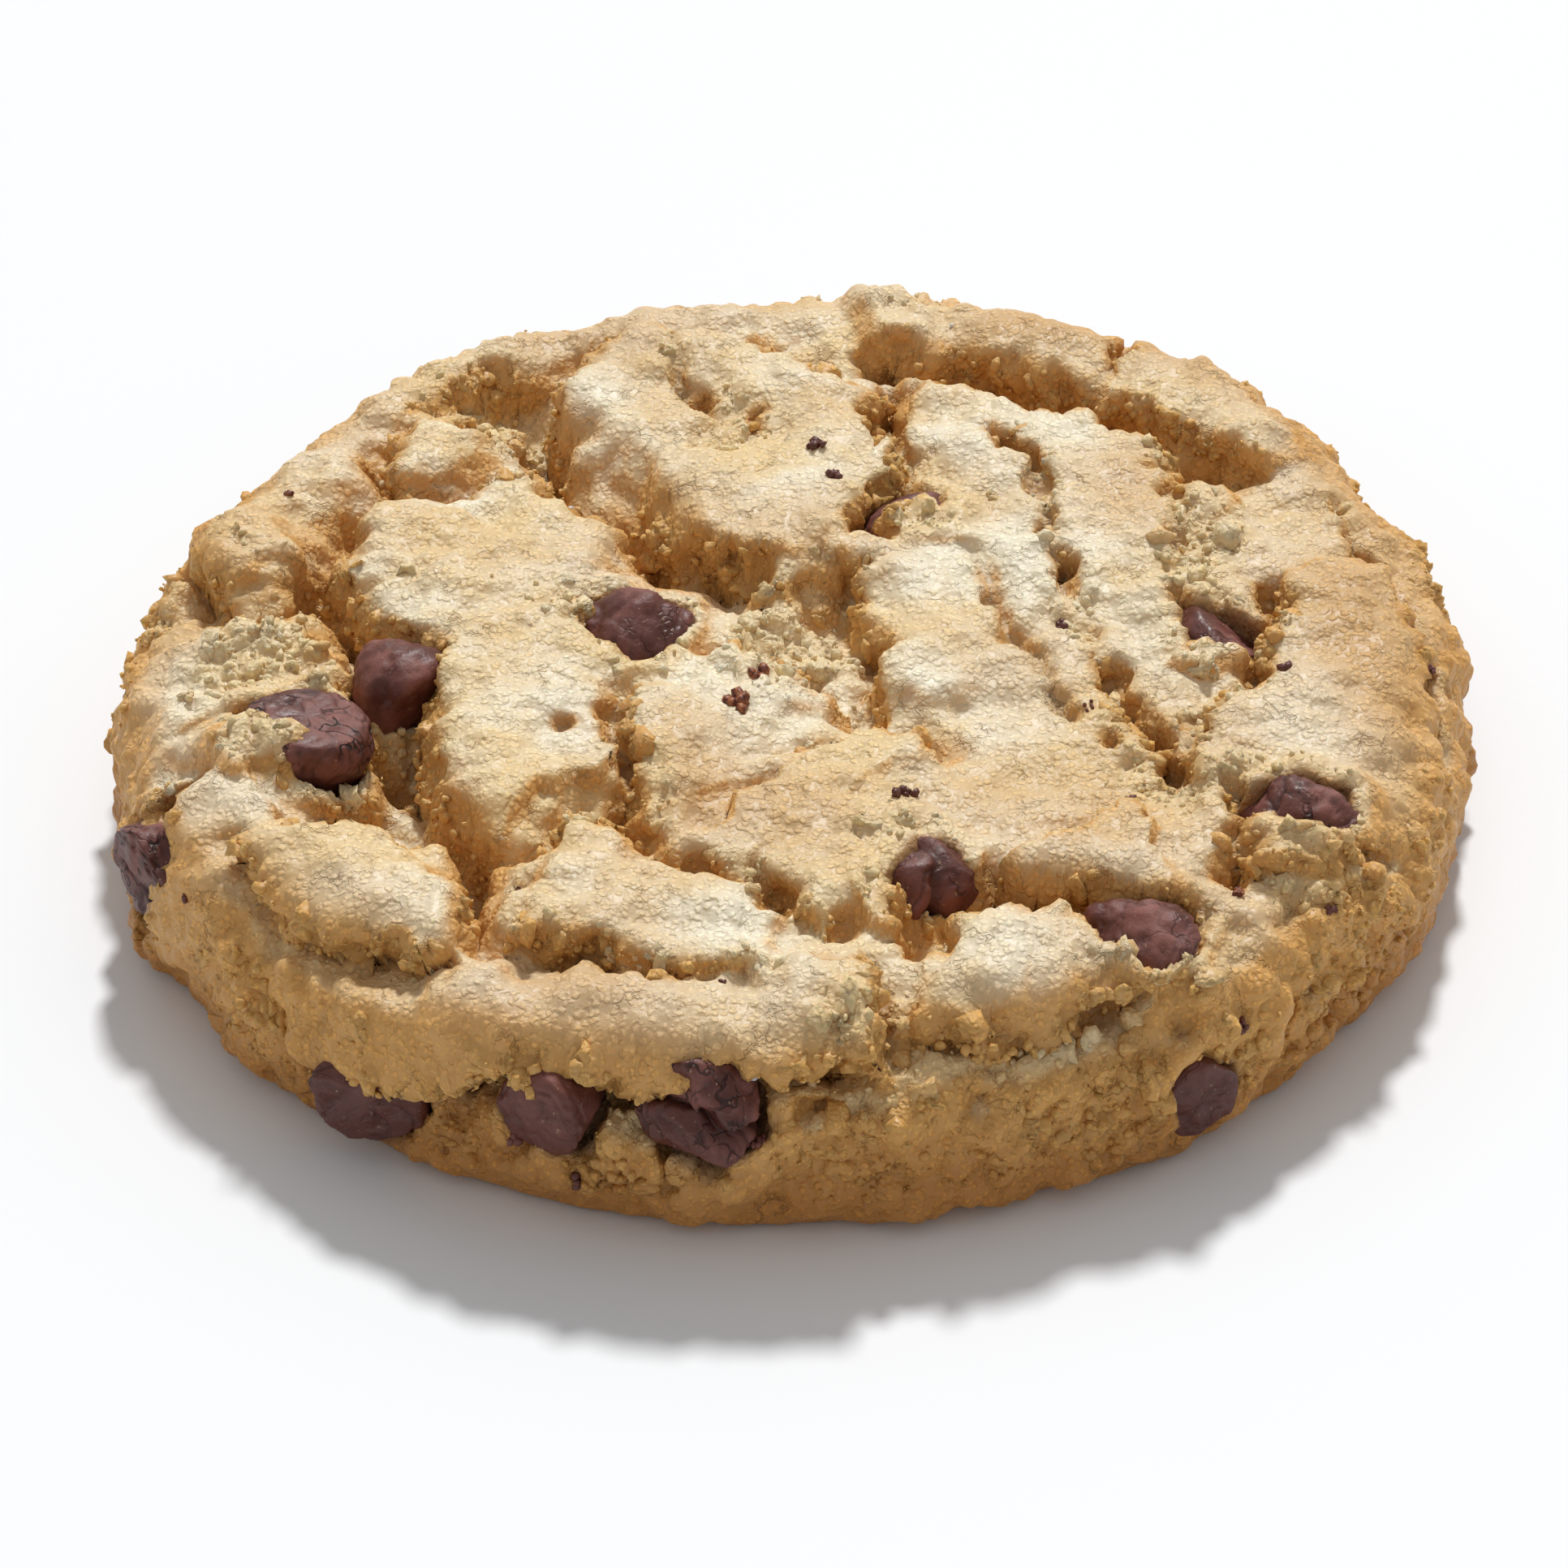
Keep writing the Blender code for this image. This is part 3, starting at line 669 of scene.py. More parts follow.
def make_dough(settings):
    """The dough: a grid wrapped over the top and side, then rings and a fan that close the flat underside."""
    form = Form(settings)
    count = settings.grid
    x, y, quads, rim = square_to_disc(count, form.base_start)
    places, cracked, torn, pocket, steep = dough_skin(x, y, quads, form, settings)
    browned, low = baking(places)
    places[rim, 2] = 0
    ring = places[rim]
    layers = [places]
    faces = quads.tolist()
    last = rim
    start = len(places)
    for share in UNDERSIDE_RINGS:
        now = np.arange(start, start + len(rim))
        layers.append(ring * share)
        faces += np.stack([last, now, np.roll(now, -1), np.roll(last, -1)], -1).tolist()
        last = now
        start += len(rim)
    layers.append(np.zeros((1, 3)))
    faces += np.stack([last, np.full(len(rim), start), np.roll(last, -1)], -1).tolist()
    vertices = np.concatenate(layers)
    under = np.zeros(len(vertices))
    under[len(places):] = 1
    under[rim] = 1
    rest = len(vertices) - len(places)
    shares = {"cracked": cracked, "torn": torn, "steep": steep, "pocket": pocket, "browned": browned}
    attributes = {key: np.concatenate([share, np.zeros(rest)]) for key, share in shares.items()}
    attributes["low"] = np.concatenate([low, np.ones(rest)])
    attributes["underside"] = under
    dough = new_piece("dough", vertices * MM, faces, dough_material(settings), attributes)
    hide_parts("cookie_dough")
    directions = face_outward(places, quads)
    return form, places, directions, torn, pocket, steep


# ------------------------------------------------------------------------------------------------- materials


# The mix node's sockets by number, because their names repeat for each kind of value.
MIX_SHARE, MIX_FIRST, MIX_SECOND, MIX_RESULT = 0, 6, 7, 2


def new_material(name):
    """A material, its nodes and links, and its Principled shader."""
    material = bpy.data.materials.new(name)
    material.use_nodes = True
    nodes, links = material.node_tree.nodes, material.node_tree.links
    return material, nodes, links, nodes["Principled BSDF"]


def node(nodes, kind, **values):
    """A new node with its properties set."""
    made = nodes.new(kind)
    for key, value in values.items():
        setattr(made, key, value)
    return made


def math_node(nodes, links, operation, first, second=None, third=None):
    """The output of a math node on numbers or sockets."""
    made = node(nodes, "ShaderNodeMath", operation=operation)
    for socket, value in zip(made.inputs, (first, second, third)):
        if isinstance(value, bpy.types.NodeSocket):
            links.new(value, socket)
        elif value is not None:
            socket.default_value = value
    return made.outputs[0]


def mixed(nodes, links, share, first, second):
    """The first colour where a share is 0 and the second where it is 1."""
    made = node(nodes, "ShaderNodeMix", data_type="RGBA")
    for number, value in ((MIX_SHARE, share), (MIX_FIRST, first), (MIX_SECOND, second)):
        if isinstance(value, bpy.types.NodeSocket):
            links.new(value, made.inputs[number])
        else:
            made.inputs[number].default_value = (*value, 1)
    return made.outputs[MIX_RESULT]


def noise_node(nodes, links, vector, scale, detail=2.0, roughness=0.5):
    """Noise with scale lumps to the metre."""
    made = node(nodes, "ShaderNodeTexNoise")
    made.inputs["Scale"].default_value = scale
    made.inputs["Detail"].default_value = detail
    made.inputs["Roughness"].default_value = roughness
    links.new(vector, made.inputs["Vector"])
    return made.outputs["Fac"]


def shifted(nodes, links, vector, noise, amount):
    """A vector moved by a noise's colour times an amount in metres."""
    made = node(nodes, "ShaderNodeVectorMath", operation="MULTIPLY_ADD")
    links.new(noise, made.inputs[0])
    made.inputs[1].default_value = (amount, amount, amount)
    links.new(vector, made.inputs[2])
    return made.outputs[0]


def set_roughness(nodes, links, shader, value, low, high):
    """Roughness from low where a value is 0 to high where it is 1."""
    made = node(nodes, "ShaderNodeMapRange")
    made.inputs["To Min"].default_value = low
    made.inputs["To Max"].default_value = high
    links.new(value, made.inputs["Value"])
    links.new(made.outputs["Result"], shader.inputs["Roughness"])


def set_bump(nodes, links, shader, height, strength, distance):
    """A bump on the shader from a height, in a distance in metres."""
    made = node(nodes, "ShaderNodeBump")
    made.inputs["Strength"].default_value = strength
    made.inputs["Distance"].default_value = distance
    links.new(height, made.inputs["Height"])
    links.new(made.outputs["Normal"], shader.inputs["Normal"])


def ramped(nodes, links, value, low, high):
    """0 below low and 1 above high, with an S-shaped rise between; high may be the smaller one."""
    made = node(nodes, "ShaderNodeMapRange", interpolation_type="SMOOTHSTEP")
    made.inputs["From Min"].default_value = low
    made.inputs["From Max"].default_value = high
    links.new(value, made.inputs["Value"])
    return made.outputs["Result"]


def baked_crumb_group():
    """Baked crumb, from Object coordinates: a mask of patches a few mm wide, a fine grain, small dark specks,
    and a height for bump made of soft grains, short hairline cracks and pits."""
    group = bpy.data.node_groups.new("Baked crumb", "ShaderNodeTree")
    face = group.interface
    for name, usual in (("Patch size", 0.012), ("Grain size", 0.0005), ("Crack size", 0.0022)):
        face.new_socket(name=name, in_out="INPUT", socket_type="NodeSocketFloat").default_value = usual
    for name in ("Patches", "Grain", "Specks", "Cracks", "Height"):
        face.new_socket(name=name, in_out="OUTPUT", socket_type="NodeSocketFloat")
    nodes, links = group.nodes, group.links
    inlet, outlet = nodes.new("NodeGroupInput"), nodes.new("NodeGroupOutput")
    coords = nodes.new("ShaderNodeTexCoord").outputs["Object"]

    def per_metre(socket):
        return math_node(nodes, links, "DIVIDE", 1.0, socket)

    def noise(size, detail, roughness):
        made = node(nodes, "ShaderNodeTexNoise")
        made.inputs["Detail"].default_value = detail
        made.inputs["Roughness"].default_value = roughness
        links.new(coords, made.inputs["Vector"])
        if isinstance(size, float):
            made.inputs["Scale"].default_value = 1 / size
        else:
            links.new(per_metre(size), made.inputs["Scale"])
        return made

    patch = noise(inlet.outputs["Patch size"], 3.0, 0.6)
    links.new(ramped(nodes, links, patch.outputs["Fac"], 0.36, 0.64), outlet.inputs["Patches"])
    jitter = noise(0.0005, 2.0, 0.5)
    beads = node(nodes, "ShaderNodeTexVoronoi", feature="F1")
    links.new(shifted(nodes, links, coords, jitter.outputs["Color"], 0.0005), beads.inputs["Vector"])
    links.new(per_metre(inlet.outputs["Grain size"]), beads.inputs["Scale"])
    grain = ramped(nodes, links, beads.outputs["Distance"], 0.65, 0.1)
    links.new(grain, outlet.inputs["Grain"])

    speck = node(nodes, "ShaderNodeTexVoronoi", feature="F1")
    speck.inputs["Scale"].default_value = 420.0
    links.new(coords, speck.inputs["Vector"])
    speck_core = ramped(nodes, links, speck.outputs["Distance"], 0.10, 0.04)
    chosen = node(nodes, "ShaderNodeSeparateColor")
    links.new(speck.outputs["Color"], chosen.inputs["Color"])
    rare = math_node(nodes, links, "GREATER_THAN", chosen.outputs[0], 0.72)
    links.new(math_node(nodes, links, "MULTIPLY", speck_core, rare), outlet.inputs["Specks"])

    crack = node(nodes, "ShaderNodeTexVoronoi", feature="DISTANCE_TO_EDGE")
    links.new(per_metre(inlet.outputs["Crack size"]), crack.inputs["Scale"])
    warp = noise(0.0012, 3.0, 0.6)
    links.new(shifted(nodes, links, coords, warp.outputs["Color"], 0.0024), crack.inputs["Vector"])
    line = ramped(nodes, links, crack.outputs["Distance"], 0.07, 0.0)
    open_here = ramped(nodes, links, noise(0.0035, 2.0, 0.5).outputs["Fac"], 0.52, 0.66)
    cracks = math_node(nodes, links, "MULTIPLY", line, open_here)
    links.new(cracks, outlet.inputs["Cracks"])

    pits = ramped(nodes, links, noise(0.0014, 2.0, 0.5).outputs["Fac"], 0.44, 0.30)
    total = math_node(nodes, links, "MULTIPLY", cracks, -0.6)
    total = math_node(nodes, links, "ADD", total, math_node(nodes, links, "MULTIPLY", pits, -0.5))
    total = math_node(nodes, links, "ADD", total, math_node(nodes, links, "MULTIPLY", grain, 0.55))
    total = math_node(nodes, links, "ADD", total, noise(0.0011, 2.0, 0.5).outputs["Fac"])
    links.new(total, outlet.inputs["Height"])
    return group


def crumb_group_node(nodes, patch_size, grain_size, crack_size):
    """The baked crumb group with its three sizes, in metres."""
    group = bpy.data.node_groups.get("Baked crumb") or baked_crumb_group()
    made = node(nodes, "ShaderNodeGroup")
    made.node_tree = group
    made.inputs["Patch size"].default_value = patch_size
    made.inputs["Grain size"].default_value = grain_size
    made.inputs["Crack size"].default_value = crack_size
    return made


def attribute(nodes, name):
    """A number that the piece's mesh carries."""
    return node(nodes, "ShaderNodeAttribute", attribute_name=name).outputs["Fac"]


def dough_material(settings):
    """Baked dough: cream top with golden patches, golden torn crumb, golden steep faces that are partly painted
    shade, browner side and base, painted shade in the cracks and holes, fine grain, rare brown specks, and a stain
    of chocolate in the chips' pockets."""
    material, nodes, links, shader = new_material("baked_dough_skin")
    crumb = crumb_group_node(nodes, 0.013, 0.00055, 0.0024)
    colour = mixed(nodes, links, crumb.outputs["Patches"], settings.top_colour, settings.gold_colour)
    colour = mixed(nodes, links, attribute(nodes, "browned"), colour, settings.brown_colour)
    torn = math_node(nodes, links, "MULTIPLY", attribute(nodes, "torn"), 0.8)
    colour = mixed(nodes, links, torn, colour, settings.crumb_colour)
    # Steep faces take a golden colour that is partly the dough's own and partly painted shade.
    steep = math_node(nodes, links, "MULTIPLY", attribute(nodes, "steep"), 0.85)
    colour = mixed(nodes, links, steep, colour, settings.steep_gold_and_shade_colour)
    colour = mixed(nodes, links, attribute(nodes, "low"), colour, settings.side_colour)
    # Fold cracks and holes are darkened with painted shade.
    split = math_node(nodes, links, "MULTIPLY", attribute(nodes, "cracked"), 0.6)
    colour = mixed(nodes, links, split, colour, settings.crack_shade_colour)
    under = math_node(nodes, links, "MULTIPLY", attribute(nodes, "underside"), 0.85)
    colour = mixed(nodes, links, under, colour, settings.base_colour)
    grain = math_node(nodes, links, "MULTIPLY_ADD", crumb.outputs["Grain"], 0.24, 0.86)
    shade = node(nodes, "ShaderNodeVectorMath", operation="SCALE")
    links.new(colour, shade.inputs[0])
    links.new(grain, shade.inputs["Scale"])
    # The hairline cracks are darkened with painted shade, more low on the side.
    crack = math_node(nodes, links, "MULTIPLY_ADD", attribute(nodes, "low"), 0.7, 0.1)
    crack = math_node(nodes, links, "MULTIPLY", crumb.outputs["Cracks"], crack)
    colour = mixed(nodes, links, crack, shade.outputs[0], settings.crack_shade_colour)
    speck = math_node(nodes, links, "MULTIPLY", crumb.outputs["Specks"], 0.55)
    colour = mixed(nodes, links, speck, colour, settings.speck_colour)
    stain = math_node(nodes, links, "MULTIPLY", attribute(nodes, "pocket"), 0.8)
    colour = mixed(nodes, links, stain, colour, settings.stain_colour)
    links.new(colour, shader.inputs["Base Color"])
    set_roughness(nodes, links, shader, crumb.outputs["Grain"], 0.45, 0.8)
    shader.inputs["Specular IOR Level"].default_value = 0.4
    shader.inputs["Subsurface Weight"].default_value = 0.2
    shader.inputs["Subsurface Scale"].default_value = 0.0025
    shader.inputs["Subsurface Radius"].default_value = (1.0, 0.6, 0.3)
    set_bump(nodes, links, shader, crumb.outputs["Height"], 1.0, 0.0002)
    return material


def chocolate_material(settings):
    """Milk chocolate: reddish brown; a paler dull bloom in patches, only on the chips high on the cookie, so that
    the low chips in shade stay darker as painted shade; painted shade in the crazing where the chip is cracked and
    in its grooves; specks of dough, soft uneven gloss and faint bump."""
    material, nodes, links, shader = new_material("chip_chocolate")
    coords = nodes.new("ShaderNodeTexCoord").outputs["Object"]
    bloom = ramped(nodes, links, noise_node(nodes, links, coords, 260.0, 4.0, 0.6), 0.38, 0.68)
    # The bloom shows only on chips high on the cookie, so that the low chips, in shade, stay darker: painted shade.
    bloom = math_node(nodes, links, "MULTIPLY", bloom, attribute(nodes, "bloom_and_painted_shade"))
    colour = mixed(nodes, links, bloom, settings.colour, settings.bloom_colour)
    warp = node(nodes, "ShaderNodeTexNoise")
    warp.inputs["Scale"].default_value = 500.0
    warp.inputs["Detail"].default_value = 2.0
    links.new(coords, warp.inputs["Vector"])
    edges = node(nodes, "ShaderNodeTexVoronoi", feature="DISTANCE_TO_EDGE")
    edges.inputs["Scale"].default_value = 290.0
    links.new(shifted(nodes, links, coords, warp.outputs["Color"], 0.0035), edges.inputs["Vector"])
    lines = ramped(nodes, links, edges.outputs["Distance"], 0.040, 0.008)
    broken = ramped(nodes, links, noise_node(nodes, links, coords, 420.0), 0.42, 0.56)
    lines = math_node(nodes, links, "MULTIPLY", lines, broken)
    lines = math_node(nodes, links, "MULTIPLY", lines, attribute(nodes, "crazed"))
    # Grooves, splits and crazing are darkened with painted shade.
    deep = math_node(nodes, links, "MULTIPLY", attribute(nodes, "groove"), 0.8)
    deep = math_node(nodes, links, "MAXIMUM", deep, lines)
    colour = mixed(nodes, links, deep, colour, settings.chip_groove_shade_colour)
    dust = ramped(nodes, links, noise_node(nodes, links, coords, 1900.0, 3.0, 0.7), 0.64, 0.72)
    dusty = math_node(nodes, links, "MULTIPLY", dust, 0.45)
    colour = mixed(nodes, links, dusty, colour, settings.dust_colour)
    links.new(colour, shader.inputs["Base Color"])
    set_roughness(nodes, links, shader, bloom, 0.42, 0.72)
    shader.inputs["Specular IOR Level"].default_value = 0.45
    rough = noise_node(nodes, links, coords, 1100.0, 3.0, 0.6)
    height = math_node(nodes, links, "SUBTRACT", rough, math_node(nodes, links, "MULTIPLY", lines, 1.5))
    set_bump(nodes, links, shader, height, 0.8, 0.00016)
    return material


def sugar_material(settings):
    """A sugar crystal: nearly white, glossy, with a little light in it."""
    material, nodes, links, shader = new_material("sugar_crystal")
    coords = nodes.new("ShaderNodeTexCoord").outputs["Object"]
    cloud = ramped(nodes, links, noise_node(nodes, links, coords, 3000.0, 2.0), 0.4, 0.6)
    links.new(mixed(nodes, links, cloud, settings.sugar_colour, settings.clear_colour), shader.inputs["Base Color"])
    shader.inputs["Roughness"].default_value = 0.2
    shader.inputs["Subsurface Weight"].default_value = 0.2
    shader.inputs["Subsurface Scale"].default_value = 0.001
    return material


def burnt_material(settings):
    """Burnt sugar: dark red-brown with lighter orange grains."""
    material, nodes, links, shader = new_material("burnt_sugar")
    coords = nodes.new("ShaderNodeTexCoord").outputs["Object"]
    patch = ramped(nodes, links, noise_node(nodes, links, coords, 2600.0, 3.0), 0.4, 0.65)
    links.new(mixed(nodes, links, patch, settings.burnt_colour, settings.amber_colour), shader.inputs["Base Color"])
    shader.inputs["Roughness"].default_value = 0.5
    return material


# --------------------------------------------------------------------------------------- chips and small bits


# Chips split in two lobes: the way across the split, from the chip's first direction, and how deep it is.
SPLITS = {"chip_front": (100, 1.5), "chip_folded": (20, 0.8), "chip_right": (60, 0.9)}
SPLIT_WIDTH = 0.55
# Vertices round a chip and from its base to its tip, how many flats it is pressed to, and how hard at most.
CHIP_TURNS = 84
CHIP_RINGS = 56
CHIP_FLATS = 6
FLAT_SHARE = 0.75


def make_chip(form, chip, material, seed):
    """One chip: turn runs round it and level from base to tip. The lower part bulges to a flat base with a round
    edge and the upper part narrows to the tip. It is pressed flat from a few random ways, and then slumps,
    grooves, crazing, pits and any split are moved in along the radius."""
    middle, turned = chip_frame(form, chip)
    rise = np.linspace(-math.pi / 2, math.pi / 2, CHIP_RINGS)[1:-1]
    turn = np.arange(CHIP_TURNS) * 2 * math.pi / CHIP_TURNS
    turn_grid, rise_grid = np.meshgrid(turn, rise)
    turn_grid, rise_grid = turn_grid.ravel(), rise_grid.ravel()
    turn_all = np.concatenate([turn_grid, [0, 0]])
    rise_all = np.concatenate([rise_grid, [-math.pi / 2, math.pi / 2]])
    level = np.sin(rise_all)
    wide = np.maximum(np.cos(rise_all), 0)
    wide = np.where(level < 0, wide**0.5, wide * (1 - CHIP_TAPER * level))
    tall = np.where(level > 0, chip.height * TIP_SHARE, chip.height * (1 - TIP_SHARE))
    upward = np.where(level < 0, np.tanh(2.2 * level) / math.tanh(2.2), level) * tall
    ball = np.stack([wide * np.cos(turn_all) * chip.width / 2, wide * np.sin(turn_all) * chip.width / 2, upward], -1)
    rng = np.random.default_rng(seed)
    for way in rng.normal(size=(CHIP_FLATS, 3)):
        way = way / np.linalg.norm(way)
        height = ball @ way
        over = height - height.max() * rng.uniform(0.62, 0.82)
        ball = ball - way * (np.maximum(over, 0) * min(FLAT_SHARE, 1.6 * chip.melted))[:, None]
    local = ball + seed * 31.7
    slump = chip.melted * (0.8 * waves(local, 4.5, seed) + 0.5 * waves(local, 2.2, seed + 1))
    ridge = np.abs(waves(local * (1, 1, 2.2) + 0.6 * waves(local, 2, seed + 3)[:, None], 3.4, seed + 2))
    groove = np.exp(-((ridge / 0.06) ** 2)) * chip.melted
    near, second = cells(local + 0.6 * waves(local, 1.6, seed + 4)[:, None], 3.0, seed + 5)
    craze = np.exp(-(((second - near) / 0.04) ** 2)) * smooth(0.6 + 1.5 * waves(local, 4.0, seed + 7))
    pits = 0.12 * layered(local, 1.1, seed + 6, 2) + 0.2 * smooth(2.4 * waves(local, 1.3, seed + 8) - 0.5)
    inward = 0.35 * groove + 0.4 * chip.cracked * craze - slump + pits
    if chip.node in SPLITS:
        way, depth = SPLITS[chip.node]
        across = ball[:, 0] * math.cos(math.radians(way)) + ball[:, 1] * math.sin(math.radians(way))
        split = np.exp(-(((across + 0.8 * waves(local, 3.0, seed + 9)) / SPLIT_WIDTH) ** 2))
        inward += depth * split
        groove = np.maximum(groove, split)
    away = ball / np.maximum(np.linalg.norm(ball, axis=1, keepdims=True), 1e-9)
    ball = ball - away * inward[:, None]
    places = ball @ turned + middle
    rows = len(rise)
    index = np.arange(rows * CHIP_TURNS).reshape(rows, CHIP_TURNS)
    quads = np.stack(
        [index[:-1], np.roll(index[:-1], -1, 1), np.roll(index[1:], -1, 1), index[1:]], -1
    ).reshape(-1, 4)
    low, high = rows * CHIP_TURNS, rows * CHIP_TURNS + 1
    base = np.stack([np.roll(index[0], -1), index[0], np.full(CHIP_TURNS, low)], -1)
    tip = np.stack([index[-1], np.roll(index[-1], -1), np.full(CHIP_TURNS, high)], -1)
    faces = quads.tolist() + base.tolist() + tip.tolist()
    attributes = {
        # The groove share marks where the painted shade of grooves and crazing goes.
        "groove": np.clip(groove * 0.6 + craze * min(chip.cracked * 3, 1), 0, 1),
        "crazed": np.full(len(places), min(2.4 * chip.cracked, 1)) * smooth(0.7 - 1.5 * level),
        # Bloom only on chips high on the cookie: the low chips, in shade, are kept darker as painted shade.
        "bloom_and_painted_shade": smooth((places[:, 2] - 5) / 8),
    }
    thing = new_piece(chip.node + "_look", places * MM, faces, material, attributes)
    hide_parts(chip.node)


# A twenty-sided ball of radius 1: its corners stand at the golden ratio, and its triangles face outward.
ICO = (1 + 5**0.5) / 2
ICO_POINTS = np.array(
    [(-1, ICO, 0), (1, ICO, 0), (-1, -ICO, 0), (1, -ICO, 0), (0, -1, ICO), (0, 1, ICO),
     (0, -1, -ICO), (0, 1, -ICO), (ICO, 0, -1), (ICO, 0, 1), (-ICO, 0, -1), (-ICO, 0, 1)]
) / math.hypot(1, ICO)
ICO_FACES = np.array(
    [(0, 11, 5), (0, 5, 1), (0, 1, 7), (0, 7, 10), (0, 10, 11), (1, 5, 9), (5, 11, 4), (11, 10, 2), (10, 7, 6),
     (7, 1, 8), (3, 9, 4), (3, 4, 2), (3, 2, 6), (3, 6, 8), (3, 8, 9), (4, 9, 5), (2, 4, 11), (6, 2, 10),
     (8, 6, 7), (9, 8, 1)]
)


def grains(places, sizes, flatness, seed):
    """A rough twenty-sided grain at each place: its corners are moved at random, and it is stretched and turned."""
    rng = np.random.default_rng(seed)
    count = len(places)
    shape = ICO_POINTS[None] * (1 + 0.35 * rng.uniform(-1, 1, (count, 12, 1)))
    shape = shape * (sizes[:, None, None] / 2) * rng.uniform(1 - flatness, 1, (count, 1, 3))
    spin = rng.normal(size=(count, 4))
    spin /= np.linalg.norm(spin, axis=1, keepdims=True)
    w, a, b, c = spin.T
    turned = np.stack(
        [
            np.stack([1 - 2 * (b * b + c * c), 2 * (a * b - c * w), 2 * (a * c + b * w)], -1),
            np.stack([2 * (a * b + c * w), 1 - 2 * (a * a + c * c), 2 * (b * c - a * w)], -1),
            np.stack([2 * (a * c - b * w), 2 * (b * c + a * w), 1 - 2 * (a * a + b * b)], -1),
        ],
        1,
    )
    points = np.einsum("nij,nkj->nki", turned, shape) + places[:, None]
    faces = ICO_FACES[None] + 12 * np.arange(count)[:, None, None]
    return points.reshape(-1, 3), faces.reshape(-1, 3)


def make_crumbs(settings, skin, material):
    """Crumbs on the torn dough: places drawn at random where the dough is torn, half sunk into its skin."""
    places, directions, torn, pocket, steep = skin[1:]
    rng = np.random.default_rng(7)
    chance = np.clip(torn - 0.3, 0, 1) ** 1.5 * (pocket < 0.1) * (places[:, 2] > 4)
    chosen = rng.choice(len(places), settings.count, p=chance / chance.sum())
    sizes = (settings.smallest + (settings.largest - settings.smallest) * rng.random(settings.count) ** 2.5) / MM
    sunk = rng.uniform(-0.35, 0.0, settings.count) * sizes
    middles = places[chosen] + directions[chosen] * sunk[:, None] + rng.normal(0, 0.12, (settings.count, 3))
    points, faces = grains(middles, sizes, 0.45, 8)
    browned, low = baking(points)
    near = np.repeat(chosen, len(ICO_POINTS))
    # The crumbs take the dough's steep share, and with it part of the painted shade.
    attributes = {"browned": browned, "low": low, "torn": torn[near], "steep": steep[near]}
    new_piece("crumbs", points * MM, faces.tolist(), material, attributes)


def finer_ball():
    """The twenty-sided ball with each side cut in four: its points, and its triangles."""
    points, faces, middles = [tuple(point) for point in ICO_POINTS], [], {}

    def middle(first, second):
        key = min(first, second), max(first, second)
        if key not in middles:
            point = Vector(points[first]) + Vector(points[second])
            middles[key] = len(points)
            points.append(tuple(point.normalized()))
        return middles[key]

    for a, b, c in ICO_FACES.tolist():
        ab, bc, ca = middle(a, b), middle(b, c), middle(c, a)
        faces += [(a, ab, ca), (b, bc, ab), (c, ca, bc), (ab, bc, ca)]
    return np.array(points), np.array(faces)


# Clumps: range of their stretch, how lumpy they are, and how far they are sunk, as a share of their size. Their
# lumps come from places up to CLUMP_APART mm apart.
CLUMP_STRETCH = 0.7, 1.15
CLUMP_LUMPS = 0.9
CLUMP_SUNK = 0.30
CLUMP_APART = 400


def make_clumps(settings, skin, material):
    """Clumps of torn dough: lumpy balls, each stretched at random and sunk into the skin where it is torn."""
    places, directions, torn, pocket, steep = skin[1:]
    rng = np.random.default_rng(31)
    count = settings.clump_count
    chance = np.clip(torn - 0.35, 0, 1) * (pocket < 0.05) * (places[:, 2] > 3)
    chosen = rng.choice(len(places), count, p=chance / chance.sum())
    smallest, largest = settings.clump_smallest, settings.clump_largest
    sizes = (smallest + (largest - smallest) * rng.random(count) ** 2) / MM
    ball, faces = finer_ball()

    def stretched():
        return ball[None] * rng.uniform(*CLUMP_STRETCH, (count, 1, 3)) * (sizes / 2)[:, None, None]

    # each ball takes its lumps from its own far-off part of the noise
    apart = stretched() + rng.uniform(0, CLUMP_APART, (count, 1, 3))
    lumps = layered(apart.reshape(-1, 3), 0.9, 33, 2, 0.7).reshape(count, -1, 1)
    shape = stretched() * (1 + CLUMP_LUMPS * lumps)
    points = shape + (places[chosen] - directions[chosen] * (CLUMP_SUNK * sizes)[:, None])[:, None]
    points = points.reshape(-1, 3)
    all_faces = (faces[None] + len(ball) * np.arange(count)[:, None, None]).reshape(-1, 3)
    browned, low = baking(points)
    near = np.repeat(chosen, len(ball))
    # The clumps take the dough's steep share, and with it part of the painted shade.
    attributes = {"browned": browned, "low": low, "torn": torn[near], "steep": steep[near]}
    new_piece("clumps", points * MM, all_faces.tolist(), material, attributes)


def nearest_skin(skin, x, y):
    """The dough's place and outward direction at a place of the laid-out skin."""
    form, places, directions = skin[:3]
    target = form.at(np.array([float(x)]), np.array([float(y)]))[0][0]
    found = np.argmin(np.linalg.norm(places - target, axis=1))
    return places[found], directions[found]


def make_bits(name, table, skin, material, seed, many, attributes=None):
    """Small irregular bits set in the dough: each a cluster of grains at its place."""
    rng = np.random.default_rng(seed)
    middles, sizes = [], []
    for x, y, size in table:
        place, direction = nearest_skin(skin, x, y)
        for _ in range(many):
            step = rng.normal(0, size * 0.22, 3) * (many > 1)
            step -= direction * step.dot(direction) * 0.8
            middles.append(place + step + direction * size * 0.1)
            sizes.append(size * (rng.uniform(0.45, 0.8) if many > 1 else 1))
    points, faces = grains(np.array(middles), np.array(sizes), 0.4, seed + 1)
    shares = {key: np.full(len(points), value) for key, value in (attributes or {}).items()}
    new_piece(name, points * MM, faces.tolist(), material, shares)


# ------------------------------------------------------------------------------------------------- settings


